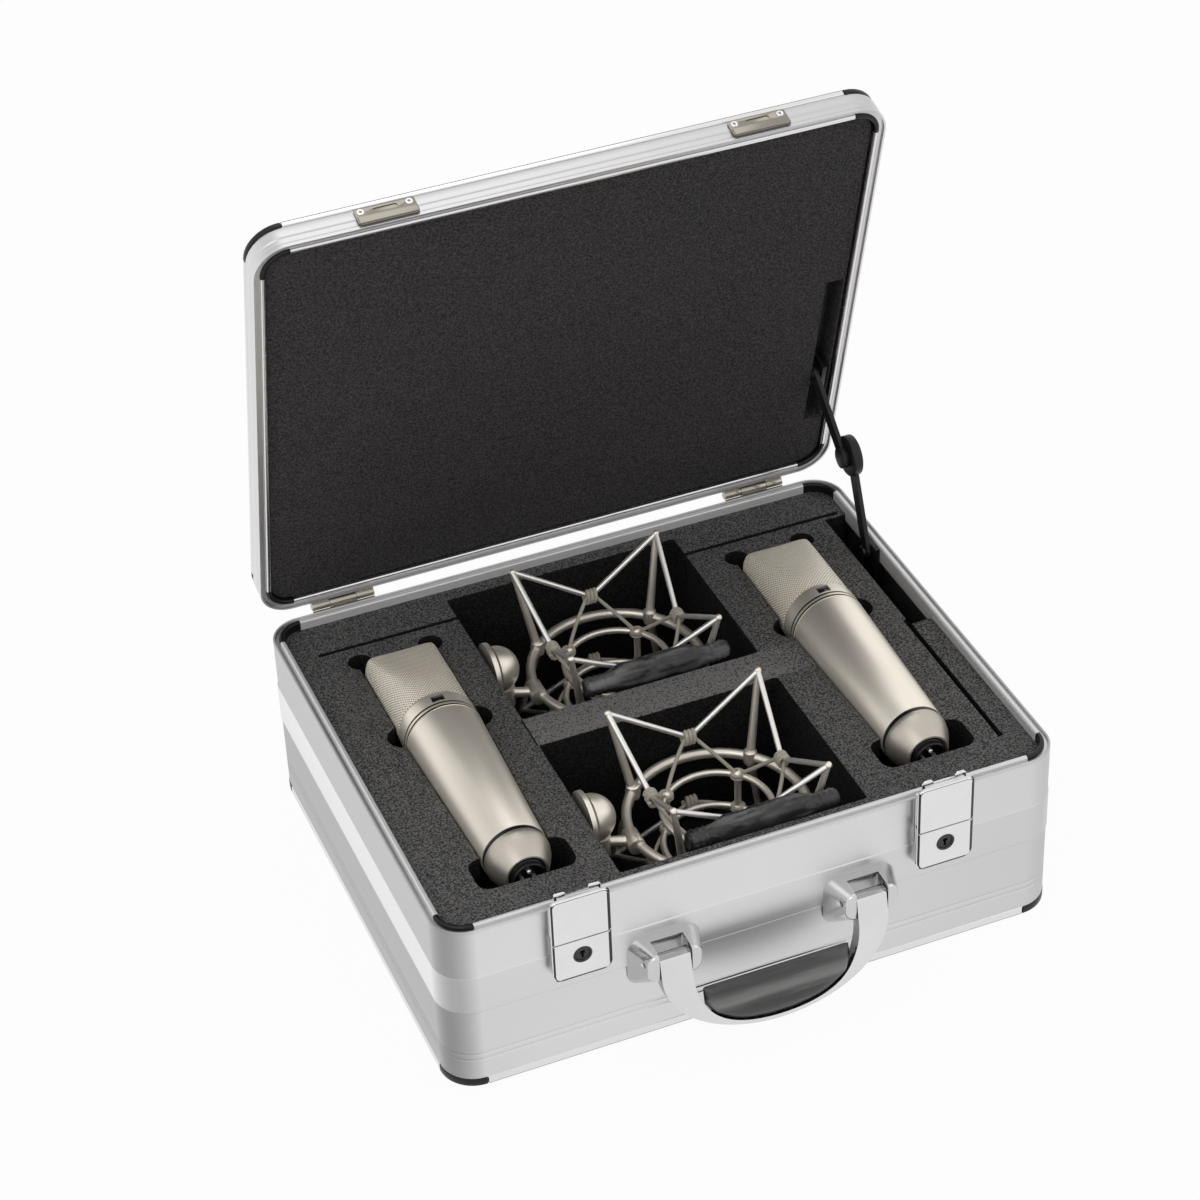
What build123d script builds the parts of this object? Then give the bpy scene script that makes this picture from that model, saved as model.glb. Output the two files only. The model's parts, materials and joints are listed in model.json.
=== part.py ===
"""Aluminium carrying case with cut foam, two condenser microphones and two elastic shock mounts.

Origin: centre of the case's bottom face.  +X: right, +Y: towards the hinges, +Z: up.  Millimetres.
The lid is drawn closed and then swung open about the hinge axis, so both poses fit each other.
"""
import os
from math import cos, hypot, radians, sin

from build123d import *

# ---------------------------------------------------------------- driving dimensions
CASE_W = 400.0
CASE_D = 326.0
CORNER_R = 22.0
BASE_TOP = 122.6            # top of the base's wall
BASE_BEAD_TOP = 123.6       # top of the rounded bead inside that wall
LID_EDGE = 123.0            # lower edge of the closed lid's wall
LID_BEAD_EDGE = 124.2       # lower edge of the bead inside it
LID_TOP = 145.2
EDGE_RAIL_H = 7.0           # angle rail round the bottom of the base
LID_RAIL_H = 5.0            # angle rail round the top of the lid
LID_RAIL_Z = LID_TOP - LID_RAIL_H
EDGE_RAIL_T = 9.0
WALL_T = 4.2
SKIN_T = 1.6                # outer edge that stands beside the recess
BEAD_T = 3.4
SHEET_T = 1.5
CORNER_ARM = 23.0           # reach of the black corner pieces along each side
BEAD_ARM = 22.6
JOINT_GAP = 0.3

HINGE_Y = 166.8
HINGE_Z = 124.0
OPEN_ANGLE = 75.0
HINGE_X = 145.0
HINGE_L = 42.0
KNUCKLE_R = 2.9
HINGE_PIN_R = 1.2
RUNNING_FIT = 0.05          # radial clearance of every pin that turns

FOAM_TOP = 117.2
FOAM_BOTTOM = 22.0
FOAM_INSET = WALL_T + BEAD_T
LID_FOAM_FACE = 127.2
LID_FOAM_INSET = 8.4

FRONT_Y = -CASE_D / 2
BACK_Y = CASE_D / 2

os.makedirs("parts", exist_ok=True)


# ---------------------------------------------------------------- helpers
def save(node, *shapes):
    """Write every solid of the shapes to one STEP file."""
    solids = [solid for shape in shapes for solid in shape.solids()]
    export_step(Compound(solids) if len(solids) > 1 else solids[0], f"parts/{node}.step")


def block(x0, x1, y0, y1, z0, z1):
    """Box between two corners."""
    centre = Pos((x0 + x1) / 2, (y0 + y1) / 2, (z0 + z1) / 2)
    return centre * Box(abs(x1 - x0), abs(y1 - y0), abs(z1 - z0))


def slab(z0, z1, inset):
    """The case's plan, drawn in by inset, between two heights."""
    plan = RectangleRounded(CASE_W - 2 * inset, CASE_D - 2 * inset, CORNER_R - inset)
    return Pos(0, 0, z0) * extrude(plan, amount=z1 - z0)


def prism(plan, z0, z1):
    """Any plan shape between two heights."""
    return Pos(0, 0, z0) * extrude(plan, amount=z1 - z0)


def x_cylinder(radius, x0, x1, y, z):
    """Round bar along X."""
    return Pos((x0 + x1) / 2, y, z) * Rot(0, 90, 0) * Cylinder(radius, abs(x1 - x0))


def y_cylinder(radius, y0, y1, x, z):
    """Round bar along Y."""
    return Pos(x, (y0 + y1) / 2, z) * Rot(90, 0, 0) * Cylinder(radius, abs(y1 - y0))


def rod(start, end, radius, end_radius=None):
    """Round or tapered bar between two points."""
    start, end = Vector(*start), Vector(*end)
    plane = Plane(origin=start, z_dir=end - start)
    length = (end - start).length
    if end_radius is None:
        return Solid.make_cylinder(radius, length, plane)
    return Solid.make_cone(radius, end_radius, length, plane)


def corner_blocks(arm):
    """Four blocks that reach arm along each side from the case's corners."""
    reach = 2 * arm
    corners = [(x, y) for x in (-CASE_W / 2, CASE_W / 2) for y in (-CASE_D / 2, CASE_D / 2)]
    return Part() + [Pos(x, y, BASE_TOP) * Box(reach, reach, CASE_W) for x, y in corners]


def split_ring(ring, arm):
    """Cut a frame into its straight lengths and its corner pieces, with a fine joint between."""
    corners = ring & corner_blocks(arm - JOINT_GAP)
    straights = ring - corner_blocks(arm)
    return straights, corners


def swing_open(shape):
    """Turn a piece of the closed lid to where the open lid stands."""
    to_axis = Pos(0, HINGE_Y, HINGE_Z)
    return to_axis * Rot(-OPEN_ANGLE, 0, 0) * to_axis.inverse() * shape


# ---------------------------------------------------------------- base shell
BASE_ZONES = (              # height from, height to, how far the face is set back
    (EDGE_RAIL_H, 21.0, 0.5),
    (21.0, 22.6, 1.3),
    (22.6, 25.4, 0.5),
    (25.4, 27.0, 1.3),
    (27.0, 60.0, 0.5),
    (60.0, 87.0, 0.0),
    (87.0, BASE_TOP, 0.5),
)
RECESS_Z = 121.0            # floor of the recess between the wall's edge and the bead


def base_wall():
    wall = Part() + [slab(z0, z1, inset) for z0, z1, inset in BASE_ZONES]
    wall -= slab(EDGE_RAIL_H - 1, BASE_TOP + 1, WALL_T)
    return wall - slab(RECESS_Z, BASE_TOP + 1, SKIN_T + 0.5)


def edge_rail(z0, z1, outer_face_z):
    """Angle frame round an outer edge of the case, with that edge chamfered."""
    ring = slab(z0, z1, 0.2) - slab(z0 - 1, z1 + 1, EDGE_RAIL_T)
    rim = [e for e in ring.edges() if abs(e.center().Z - outer_face_z) < 0.01
           and hypot(e.center().X, e.center().Y) > hypot(0, CASE_D / 2 - EDGE_RAIL_T + 3)
           and max(abs(e.center().X) - CASE_W / 2, abs(e.center().Y) - CASE_D / 2) > -EDGE_RAIL_T + 2]
    return chamfer(rim, 1.6)


def bead(z0, z1, top):
    """Rounded bead frame that stands inside a wall's edge."""
    ring = slab(z0, z1, WALL_T) - slab(z0 - 1, z1 + 1, WALL_T + BEAD_T)
    face = ring.faces().sort_by(Axis.Z)[-1 if top else 0]
    return fillet(face.edges(), BEAD_T * 0.4)


base_edge_straights, base_edge_corner_pieces = split_ring(edge_rail(0, EDGE_RAIL_H, 0), CORNER_ARM)
base_bead_straights, base_bead_corners = split_ring(bead(112.0, BASE_BEAD_TOP, True), BEAD_ARM)
save("base_wall", base_wall())
save("bottom_panel", slab(0, 2.0, EDGE_RAIL_T + 0.1))
save("base_edge_rails", base_edge_straights)
save("base_edge_corners", base_edge_corner_pieces)
save("base_rim_rails", base_bead_straights)
save("base_rim_corners", base_bead_corners)

# ---------------------------------------------------------------- microphones: sizes
MIC_X = 130.3
MIC_Z = 114.5
MIC_R = 25.2
SEAM_Y = 16.9               # between collar and tube
COLLAR_TOP_Y = 33.0
HEAD_END_Y = 99.0
HEAD_HALF_T = 12.0          # half the head's thickness at its far end
TUBE_END_Y = -100.0
TUBE_END_R = 20.7
CONE_END_Y = -121.7
CONE_END_R = 13.4
CONNECTOR_END_Y = -125.2
CONNECTOR_R = 10.5

# ---------------------------------------------------------------- foam
POCKET_FLOOR_Z = 89.0
COMPARTMENT_X = (-82.0, 78.0)
COMPARTMENT_Y = {"front": (-145.2, -16.9), "back": (10.5, 145.8)}
RECESS_X = 177.0
RECESS_Y = (-4.0, 122.0)
RECESS_FLOOR_Z = 92.0
SLIT_T = 3.5
TAIL_CUT = (62.0, 28.0)
TAIL_CUT_Y = -113.0
SLIT_FLOOR_Z = 60.0
LID_POCKET_X = (178.0, 190.2)
LID_POCKET_Y = (-14.0, 115.0)


def mic_pocket(x):
    """Cut-out for one microphone, with finger notches beside its collar and a wide tail."""
    room = 1.0
    wide = MIC_R + room
    outline = Polyline(
        (-wide, HEAD_END_Y + 9), (-wide, SEAM_Y), (-TUBE_END_R - room, TUBE_END_Y),
        (TUBE_END_R + room, TUBE_END_Y), (wide, SEAM_Y), (wide, HEAD_END_Y + 9), close=True)
    plan = make_face(outline)
    plan += Pos(0, TAIL_CUT_Y) * RectangleRounded(*TAIL_CUT, 8.0)
    for side in (-1, 1):
        plan += Pos(side * 23.0, 26.0) * Circle(11.0)
        plan += Pos(side * 23.5, HEAD_END_Y + 9) * Circle(8.0)
    return prism(Pos(x, 0) * plan, POCKET_FLOOR_Z, FOAM_TOP + 1)


def base_foam():
    foam = slab(FOAM_BOTTOM, FOAM_TOP, FOAM_INSET)
    for x in (-MIC_X, MIC_X):
        foam -= mic_pocket(x)
    for y0, y1 in COMPARTMENT_Y.values():
        middle = Pos(sum(COMPARTMENT_X) / 2, (y0 + y1) / 2)
        plan = middle * RectangleRounded(COMPARTMENT_X[1] - COMPARTMENT_X[0], y1 - y0, 2.0)
        foam -= prism(plan, FOAM_BOTTOM - 1, FOAM_TOP + 1)
    foam -= block(RECESS_X, CASE_W / 2, *RECESS_Y, RECESS_FLOOR_Z, FOAM_TOP + 1)
    slits = ((-176.0, -82.0, 125.0 - SLIT_T / 2, 125.0 + SLIT_T / 2),
             (78.0, 188.0, 126.0 - SLIT_T / 2, 126.0 + SLIT_T / 2),
             (176.5 - SLIT_T / 2, 176.5 + SLIT_T / 2, -127.0, 2.0))
    for slit in slits:
        foam -= block(*slit, SLIT_FLOOR_Z, FOAM_TOP + 1)
    return foam


def lid_foam():
    foam = slab(LID_FOAM_FACE, LID_RAIL_Z, LID_FOAM_INSET)
    foam += slab(LID_RAIL_Z, LID_TOP - SHEET_T, EDGE_RAIL_T + 0.1)
    return foam - block(*LID_POCKET_X, *LID_POCKET_Y, LID_FOAM_FACE - 1, LID_TOP)


save("foam_floor", slab(2.0, FOAM_BOTTOM, EDGE_RAIL_T + 0.1))
save("base_foam", base_foam())

# ---------------------------------------------------------------- lid shell, drawn closed
LID_ZONES = (
    (LID_EDGE, 126.7, 0.0),
    (126.7, 131.5, 0.5),
    (131.5, 139.0, 0.0),
    (139.0, LID_RAIL_Z, 1.3),
)
LID_RECESS_Z = 125.6


def lid_wall():
    wall = Part() + [slab(z0, z1, inset) for z0, z1, inset in LID_ZONES]
    wall -= slab(LID_EDGE - 1, LID_TOP, WALL_T)
    return wall - slab(LID_EDGE - 1, LID_RECESS_Z, SKIN_T)


lid_edge_straights, lid_edge_corner_pieces = split_ring(
    edge_rail(LID_RAIL_Z, LID_TOP, LID_TOP), CORNER_ARM)
lid_bead_straights, lid_bead_corners = split_ring(bead(LID_BEAD_EDGE, 134.0, False), BEAD_ARM)
save("lid_wall", swing_open(lid_wall()))
save("lid_panel", swing_open(slab(LID_TOP - SHEET_T, LID_TOP, EDGE_RAIL_T + 0.1)))
save("lid_edge_rails", swing_open(lid_edge_straights))
save("lid_edge_corners", swing_open(lid_edge_corner_pieces))
save("lid_rim_rails", swing_open(lid_bead_straights))
save("lid_rim_corners", swing_open(lid_bead_corners))
save("lid_foam", swing_open(lid_foam()))

# ---------------------------------------------------------------- hinges
LEAF_T = 1.4
LEAF_H = 19.0
CENTRE_KNUCKLE = 18.0       # the base's knuckle; the lid has one at each side of it
SCREW_R = 2.4


def hinge_leaf(x, above):
    """One leaf: the base's below the axis with the centre knuckle, the lid's above with two."""
    side = 1 if above else -1
    z_near = HINGE_Z + side * 2.0
    leaf = block(x - HINGE_L / 2, x + HINGE_L / 2, BACK_Y, BACK_Y + LEAF_T,
                 z_near, HINGE_Z + side * LEAF_H)
    if above:
        spans = [(x - HINGE_L / 2, x - CENTRE_KNUCKLE / 2 - JOINT_GAP),
                 (x + CENTRE_KNUCKLE / 2 + JOINT_GAP, x + HINGE_L / 2)]
    else:
        spans = [(x - CENTRE_KNUCKLE / 2, x + CENTRE_KNUCKLE / 2)]
    for x0, x1 in spans:
        leaf += block(x0, x1, BACK_Y, HINGE_Y, HINGE_Z, z_near + side * 1.5)
        leaf += x_cylinder(KNUCKLE_R, x0, x1, HINGE_Y, HINGE_Z)
    return leaf - x_cylinder(HINGE_PIN_R + RUNNING_FIT, x - HINGE_L, x + HINGE_L, HINGE_Y, HINGE_Z)


def leaf_screws(x):
    """Three dome screw heads on the base's leaf."""
    z = HINGE_Z - 11.0
    heads = []
    for dx in (-14.0, 0.0, 14.0):
        head = y_cylinder(SCREW_R, BACK_Y + LEAF_T, BACK_Y + LEAF_T + 1.0, x + dx, z)
        heads.append(fillet(head.edges().group_by(Axis.Y)[-1], 0.7))
    return heads


hinge_xs = (-HINGE_X, HINGE_X)
save("hinge_leaves_base", *[hinge_leaf(x, False) for x in hinge_xs])
save("hinge_leaves_lid", *[swing_open(hinge_leaf(x, True)) for x in hinge_xs])
save("hinge_screws", *[screw for x in hinge_xs for screw in leaf_screws(x)])
hinge_pins = [x_cylinder(HINGE_PIN_R, x - HINGE_L / 2, x + HINGE_L / 2, HINGE_Y, HINGE_Z)
              for x in hinge_xs]

# ---------------------------------------------------------------- latches
LATCH_X = 117.0
LATCH_W = 36.0
LATCH_FRONT_Y = FRONT_Y - 8.0
PLATE_T = 1.6
LATCH_BOTTOM_Z = 71.7
LATCH_AXIS_Z = 102.0
LATCH_AXIS_Y = LATCH_FRONT_Y + PLATE_T - 0.1
LATCH_TOP_Z = 133.0
PLATE_TOP_Z = LATCH_AXIS_Z - 2.1
FLAP_BOTTOM_Z = LATCH_AXIS_Z + 2.2
BARREL_R = 1.8
LATCH_PIN_R = 1.0
BARREL_HALF = 10.0
EAR_T = 6.4
LOCK_Z = 88.5
LOCK_R = 6.0
CLAW_Y = (FRONT_Y - 2.6, FRONT_Y - 4.2)
CLAW_TOP_Z = 136.2
CLAW_STRIP_Z = 133.8        # the strip shows above the lever between its two prongs
PRONG_X = (7.0, 14.5)
CATCH_PROUD = 2.2
CATCH_RIVET = (14.8, 135.2)  # X and Z of a rivet, from the striker's middle


def latch_housing(x):
    """Back plate, side walls and floor behind the cover plate, with two ears for the pin."""
    half = LATCH_W / 2 - 1.2
    plate_y = FRONT_Y - 1.6
    cover_y = LATCH_FRONT_Y + PLATE_T
    housing = block(x - half, x + half, FRONT_Y, plate_y, LATCH_BOTTOM_Z + 1, BASE_TOP - 1)
    for side in (-1, 1):
        outer, inner = x + side * half, x + side * (half - 1.4)
        housing += block(outer, inner, plate_y, cover_y, LATCH_BOTTOM_Z + 1, PLATE_TOP_Z)
        ear0, ear1 = x + side * (BARREL_HALF + 0.3), x + side * (BARREL_HALF + 0.3 + EAR_T)
        housing += block(ear0, ear1, plate_y, LATCH_AXIS_Y, LATCH_AXIS_Z - 1.6, LATCH_AXIS_Z + 1.6)
        housing += x_cylinder(BARREL_R, ear0, ear1, LATCH_AXIS_Y, LATCH_AXIS_Z)
    housing += block(x - half, x + half, plate_y, cover_y, LATCH_BOTTOM_Z + 1, LATCH_BOTTOM_Z + 2.6)
    return housing - x_cylinder(LATCH_PIN_R, x - half, x + half, LATCH_AXIS_Y, LATCH_AXIS_Z)


def latch_cover(x):
    """Fixed lower plate with rounded lower corners and the lock's hole."""
    plate = block(x - LATCH_W / 2, x + LATCH_W / 2, LATCH_FRONT_Y, LATCH_FRONT_Y + PLATE_T,
                  LATCH_BOTTOM_Z, PLATE_TOP_Z)
    low_corners = plate.edges().filter_by(Axis.Y).group_by(Axis.Z)[0]
    plate = fillet(low_corners, 5.0)
    plate -= y_cylinder(LOCK_R + RUNNING_FIT, LATCH_FRONT_Y - 1, FRONT_Y, x, LOCK_Z)
    rim = plate.faces().sort_by(Axis.Y)[0].outer_wire().edges()
    return chamfer(rim, 0.4)


def latch_flap(x):
    """Lever plate with cut upper corners, side returns and a rolled lower edge."""
    half = LATCH_W / 2
    flap = block(x - half, x + half, LATCH_FRONT_Y, LATCH_FRONT_Y + PLATE_T,
                 FLAP_BOTTOM_Z, LATCH_TOP_Z)
    flap = chamfer(flap.edges().filter_by(Axis.Y).group_by(Axis.Z)[-1], 4.0)
    flap = chamfer(flap.faces().sort_by(Axis.Y)[0].outer_wire().edges(), 0.4)
    for side in (-1, 1):
        flap += block(x + side * half, x + side * (half - 1.2), LATCH_FRONT_Y + PLATE_T,
                      FRONT_Y - CATCH_PROUD - 0.4, FLAP_BOTTOM_Z + 1.1, LATCH_TOP_Z - 4.5)
    flap += block(x - BARREL_HALF, x + BARREL_HALF, LATCH_FRONT_Y, LATCH_FRONT_Y + PLATE_T,
                  LATCH_AXIS_Z, FLAP_BOTTOM_Z)
    flap += x_cylinder(BARREL_R, x - BARREL_HALF, x + BARREL_HALF, LATCH_AXIS_Y, LATCH_AXIS_Z)
    bore = LATCH_PIN_R + RUNNING_FIT
    return flap - x_cylinder(bore, x - half, x + half, LATCH_AXIS_Y, LATCH_AXIS_Z)


def latch_claw(x):
    """Sliding plate whose two prongs stand above the lever."""
    strip = block(x - PRONG_X[1], x + PRONG_X[1], *CLAW_Y, 108.0, CLAW_STRIP_Z)
    for side in (-1, 1):
        strip += block(x + side * PRONG_X[0], x + side * PRONG_X[1], *CLAW_Y, CLAW_STRIP_Z, CLAW_TOP_Z)
    tips = strip.edges().filter_by(Axis.Y).group_by(Axis.Z)[-1]
    return chamfer(tips, 1.2)


def lock_cylinder(x):
    """Round lock barrel with a keyhole: a round top and a slot that falls from it."""
    front = LATCH_FRONT_Y - 0.5
    barrel = y_cylinder(LOCK_R, front, FRONT_Y - 1.9, x, LOCK_Z)
    barrel = chamfer(barrel.edges().group_by(Axis.Y)[0], 0.5)
    barrel -= y_cylinder(1.5, front - 1, front + 3.0, x, LOCK_Z + 0.8)
    return barrel - block(x - 0.7, x + 0.7, front - 1, front + 3.0, LOCK_Z - 3.4, LOCK_Z + 0.8)


def catch_plate(x):
    """Striker on the lid's front wall: a slotted plate, raised to a box along the lid's edge."""
    plate = block(x - 18.5, x + 18.5, FRONT_Y, FRONT_Y - 1.4, 125.5, 138.6)
    plate = fillet(plate.edges().filter_by(Axis.Y), 2.0)
    box = block(x - 18.0, x + 18.0, FRONT_Y - 1.4, FRONT_Y - CATCH_PROUD, 126.0, 131.4)
    plate += chamfer(box.faces().sort_by(Axis.Y)[0].outer_wire().edges(), 0.3)
    slot = RectangleRounded(15.0, 3.6, 1.7)
    cutter = Pos(x, FRONT_Y - 5, 134.4) * Rot(90, 0, 0) * extrude(slot, amount=-4.2)
    return plate - cutter


def catch_rivets(x):
    """Two rivet heads in the striker's upper corners."""
    dx, z = CATCH_RIVET
    return [y_cylinder(2.1, FRONT_Y - 1.4, FRONT_Y - 2.1, x + side * dx, z) for side in (-1, 1)]


latch_sides = {"left": -LATCH_X, "right": LATCH_X}
save("latch_housings", *[latch_housing(x) for x in latch_sides.values()])
save("latch_lower_plates", *[latch_cover(x) for x in latch_sides.values()])
save("catch_plates", *[swing_open(catch_plate(x)) for x in latch_sides.values()])
save("catch_rivets", *[swing_open(r) for x in latch_sides.values() for r in catch_rivets(x)])
latch_pins = [x_cylinder(LATCH_PIN_R, x - 13.3, x + 13.3, LATCH_AXIS_Y, LATCH_AXIS_Z)
              for x in latch_sides.values()]
for side, x in latch_sides.items():
    save(f"latch_flap_{side}", latch_flap(x))
    save(f"latch_claw_{side}", latch_claw(x))
    save(f"lock_cylinder_{side}", lock_cylinder(x))

# ---------------------------------------------------------------- carrying handle
BRACKET_X = 63.5
HANDLE_Y = -177.0
HANDLE_Z = 71.0
HANDLE_TILT = 12.0          # the arch hangs this far out of the vertical
NOTCH_W = 20.8
HANDLE_PIN_R = 2.0
BOSS_R = 4.4
LIMB_W = 19.6
ARCH_HALF = BRACKET_X + LIMB_W / 2
ARCH_DROP = 61.0
ARCH_SIDE = 12.0            # straight length of the limbs below the pin
STRAP_T = 8.4
GRIP_T = 13.0
GRIP_TOP = 27.5             # straight upper edge of the grip, below the pin
GRIP_HALF = 47.5
INNER_EDGE = ((53.7, 17.0), (52.6, 25.0), (49.2, 35.0), (42.2, 45.5), (29.5, 53.6), (14.0, 57.5), (0.0, 58.4))


def handle_bracket(x):
    """Cast end fitting: a tapering block with a deep notch for the arch's limb."""
    foot = Plane(origin=(x, FRONT_Y, 61.5), x_dir=(1, 0, 0), z_dir=(0, -1, 0))
    nose = Plane(origin=(x, HANDLE_Y - 5.0, 69.0), x_dir=(1, 0, 0), z_dir=(0, -1, 0))
    body = loft([foot * RectangleRounded(47.0, 35.0, 9.0), nose * RectangleRounded(34.0, 18.5, 7.0)])
    body = fillet(body.faces().sort_by(Axis.Y)[0].edges(), 2.5)
    body -= block(x - NOTCH_W / 2, x + NOTCH_W / 2, FRONT_Y - 5.0, HANDLE_Y - 20, 30.0, 100.0)
    return body - x_cylinder(HANDLE_PIN_R, x - 30, x + 30, HANDLE_Y, HANDLE_Z)


def hang(shape):
    """Take the arch from its own plane, pin at the origin and -Y down, to the pin on the case."""
    return Pos(0, HANDLE_Y, HANDLE_Z) * Rot(90 - HANDLE_TILT, 0, 0) * shape


def inner_spline():
    """Inner edge of the arch, which is also the grip's outer edge, from right to left."""
    right = [(x, -drop) for x, drop in INNER_EDGE]
    left = [(-x, y) for x, y in reversed(right[:-1])]
    return Spline(*(right + left))


def handle_strap():
    """Metal arch: wide limbs that narrow to a thin rim under the grip."""
    curve = inner_spline()
    limb = ARCH_HALF - LIMB_W
    outer = EllipticalCenterArc((0, -ARCH_SIDE), ARCH_HALF, ARCH_DROP - ARCH_SIDE, 180, arc_size=180)
    outline = [outer, Line((ARCH_HALF, -ARCH_SIDE), (ARCH_HALF, 0)), Line((ARCH_HALF, 0), (limb, 0)),
               Line((limb, 0), curve @ 0), curve, Line(curve @ 1, (-limb, 0)),
               Line((-limb, 0), (-ARCH_HALF, 0)), Line((-ARCH_HALF, 0), (-ARCH_HALF, -ARCH_SIDE))]
    arch = extrude(make_face(outline), amount=STRAP_T / 2, both=True)
    for side in (-1, 1):
        centre = side * (ARCH_HALF - LIMB_W / 2)
        arch += x_cylinder(BOSS_R, centre - LIMB_W / 2, centre + LIMB_W / 2, 0, 0)
    return hang(arch - x_cylinder(HANDLE_PIN_R + RUNNING_FIT, -90, 90, 0, 0))


def handle_grip():
    """Crescent grip that fills the arch's bottom, with a straight upper edge."""
    inside = make_face([inner_spline(), Line(inner_spline() @ 1, inner_spline() @ 0)])
    crescent = inside & Pos(0, -GRIP_TOP - 25) * RectangleRounded(2 * GRIP_HALF, 50.1, 6.0)
    body = extrude(crescent, amount=GRIP_T / 2, both=True)
    return hang(body)


save("handle_brackets", *[handle_bracket(x) for x in (-BRACKET_X, BRACKET_X)])
save("handle_strap", handle_strap())
save("handle_grip", handle_grip())
handle_pins = [x_cylinder(HANDLE_PIN_R, x - 14.5, x + 14.5, HANDLE_Y, HANDLE_Z)
               for x in (-BRACKET_X, BRACKET_X)]
save("pivot_pins", *hinge_pins, *latch_pins, *handle_pins)

# ---------------------------------------------------------------- folding lid stay
STAY_BASE = (79.0, 117.0)           # Y and Z of the lower pivot
STAY_HUB = (103.0, 178.0)           # the elbow, lid open
STAY_LID_CLOSED = (71.84, 128.94)   # the lid's pivot, lid closed
STAY_PIN_R = 2.0
LINK_HALF = 4.5
LOWER_LINK_X = (185.5, 188.5)
UPPER_LINK_X = (179.6, 182.6)
HUB_X = (183.0, 189.4)
HUB_R = 13.5
BRACKET_PLATE_X = (184.0, 187.0)


def link(x_span, start, end):
    """Flat bar with round ends in a plane across X."""
    x0, x1 = x_span
    length = hypot(end[0] - start[0], end[1] - start[1])
    middle = Plane(origin=(x0, start[0], start[1]), x_dir=(0, end[0] - start[0], end[1] - start[1]),
                   z_dir=(1, 0, 0))
    bar = middle * Pos(length / 2, 0) * SlotCenterToCenter(length, 2 * LINK_HALF)
    return extrude(bar, amount=x1 - x0)


def lid_pivot_open():
    """Y and Z of the lid's stay pivot when the lid stands open."""
    turn = radians(OPEN_ANGLE)
    dy, dz = STAY_LID_CLOSED[0] - HINGE_Y, STAY_LID_CLOSED[1] - HINGE_Z
    return HINGE_Y + dy * cos(turn) + dz * sin(turn), HINGE_Z - dy * sin(turn) + dz * cos(turn)


def stay_lower_link():
    bar = link(LOWER_LINK_X, STAY_BASE, STAY_HUB)
    bar -= x_cylinder(HUB_R, *HUB_X, *STAY_HUB)
    return bar - x_cylinder(STAY_PIN_R + RUNNING_FIT, 150, 200, *STAY_BASE)


def stay_hub():
    """Round elbow, a thick disc with eased edges."""
    hub = x_cylinder(HUB_R, *HUB_X, *STAY_HUB)
    return chamfer(hub.edges().filter_by(GeomType.CIRCLE), 0.5)


def stay_upper_link():
    bar = link(UPPER_LINK_X, lid_pivot_open(), STAY_HUB)
    bar += x_cylinder(7.0, UPPER_LINK_X[0] - 1.2, UPPER_LINK_X[1], *STAY_HUB)
    return bar - x_cylinder(STAY_PIN_R + RUNNING_FIT, 150, 200, *lid_pivot_open())


def stay_base_bracket():
    """Lug on the right wall with the lower pivot's pin and its head."""
    y, z = STAY_BASE
    bracket = block(188.9, 192.3, y - 9, y + 9, 96.0, z + 5.5)
    bracket += block(192.3, CASE_W / 2 - WALL_T, y - 9, y + 9, 96.0, 111.5)
    bracket += x_cylinder(STAY_PIN_R, 184.3, 190.0, y, z)
    return bracket + x_cylinder(4.0, 183.0, 185.2, y, z)


def stay_lid_bracket():
    """Lug under the lid's panel with the upper pivot's pin and its head."""
    y, z = STAY_LID_CLOSED
    bracket = block(*BRACKET_PLATE_X, y - 9, y + 9, z - 5.0, LID_TOP - SHEET_T)
    bracket += x_cylinder(STAY_PIN_R, 179.4, 186.0, y, z)
    return bracket + x_cylinder(3.6, 178.4, 179.4, y, z)


save("stay_lower_link", stay_lower_link())
save("stay_hub", stay_hub())
save("stay_upper_link", stay_upper_link())
save("stay_base_bracket", stay_base_bracket())
save("stay_lid_bracket", swing_open(stay_lid_bracket()))


# ---------------------------------------------------------------- microphones
def y_turned(points, x):
    """Solid turned about the microphone's axis from (radius, y) points."""
    profile = make_face(Polyline(*[(r, y, 0) for r, y in points], close=True))
    return Pos(x, 0, MIC_Z) * revolve(profile, Axis.Y)


def mic_head(x):
    """Mesh head: a round bar cut by two sloping planes to a blunt wedge."""
    bar = y_cylinder(MIC_R - 0.4, COLLAR_TOP_Y, HEAD_END_Y, x, MIC_Z)
    side = Polyline((COLLAR_TOP_Y, -MIC_R), (COLLAR_TOP_Y + 12, -MIC_R), (HEAD_END_Y, -HEAD_HALF_T),
                    (HEAD_END_Y, HEAD_HALF_T), (COLLAR_TOP_Y + 12, MIC_R), (COLLAR_TOP_Y, MIC_R),
                    close=True)
    plane = Plane(origin=(x - MIC_R, 0, MIC_Z), x_dir=(0, 1, 0), z_dir=(1, 0, 0))
    wedge = extrude(plane * make_face(side), amount=2 * MIC_R)
    head = bar & wedge
    return fillet(head.faces().sort_by(Axis.Y)[-1].edges(), 4.0)


def mic_collar(x):
    collar = y_turned([(0, SEAM_Y), (MIC_R, SEAM_Y), (MIC_R, COLLAR_TOP_Y - 1.5),
                       (MIC_R - 0.8, COLLAR_TOP_Y), (0, COLLAR_TOP_Y)], x)
    return collar - block(x - 4.0, x + 4.0, 23.0, 29.5, MIC_Z + MIC_R - 2.4, MIC_Z + MIC_R + 1)


def mic_body(x):
    return y_turned([(0, SEAM_Y), (MIC_R - 0.2, SEAM_Y), (TUBE_END_R, TUBE_END_Y), (0, TUBE_END_Y)], x)


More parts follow.
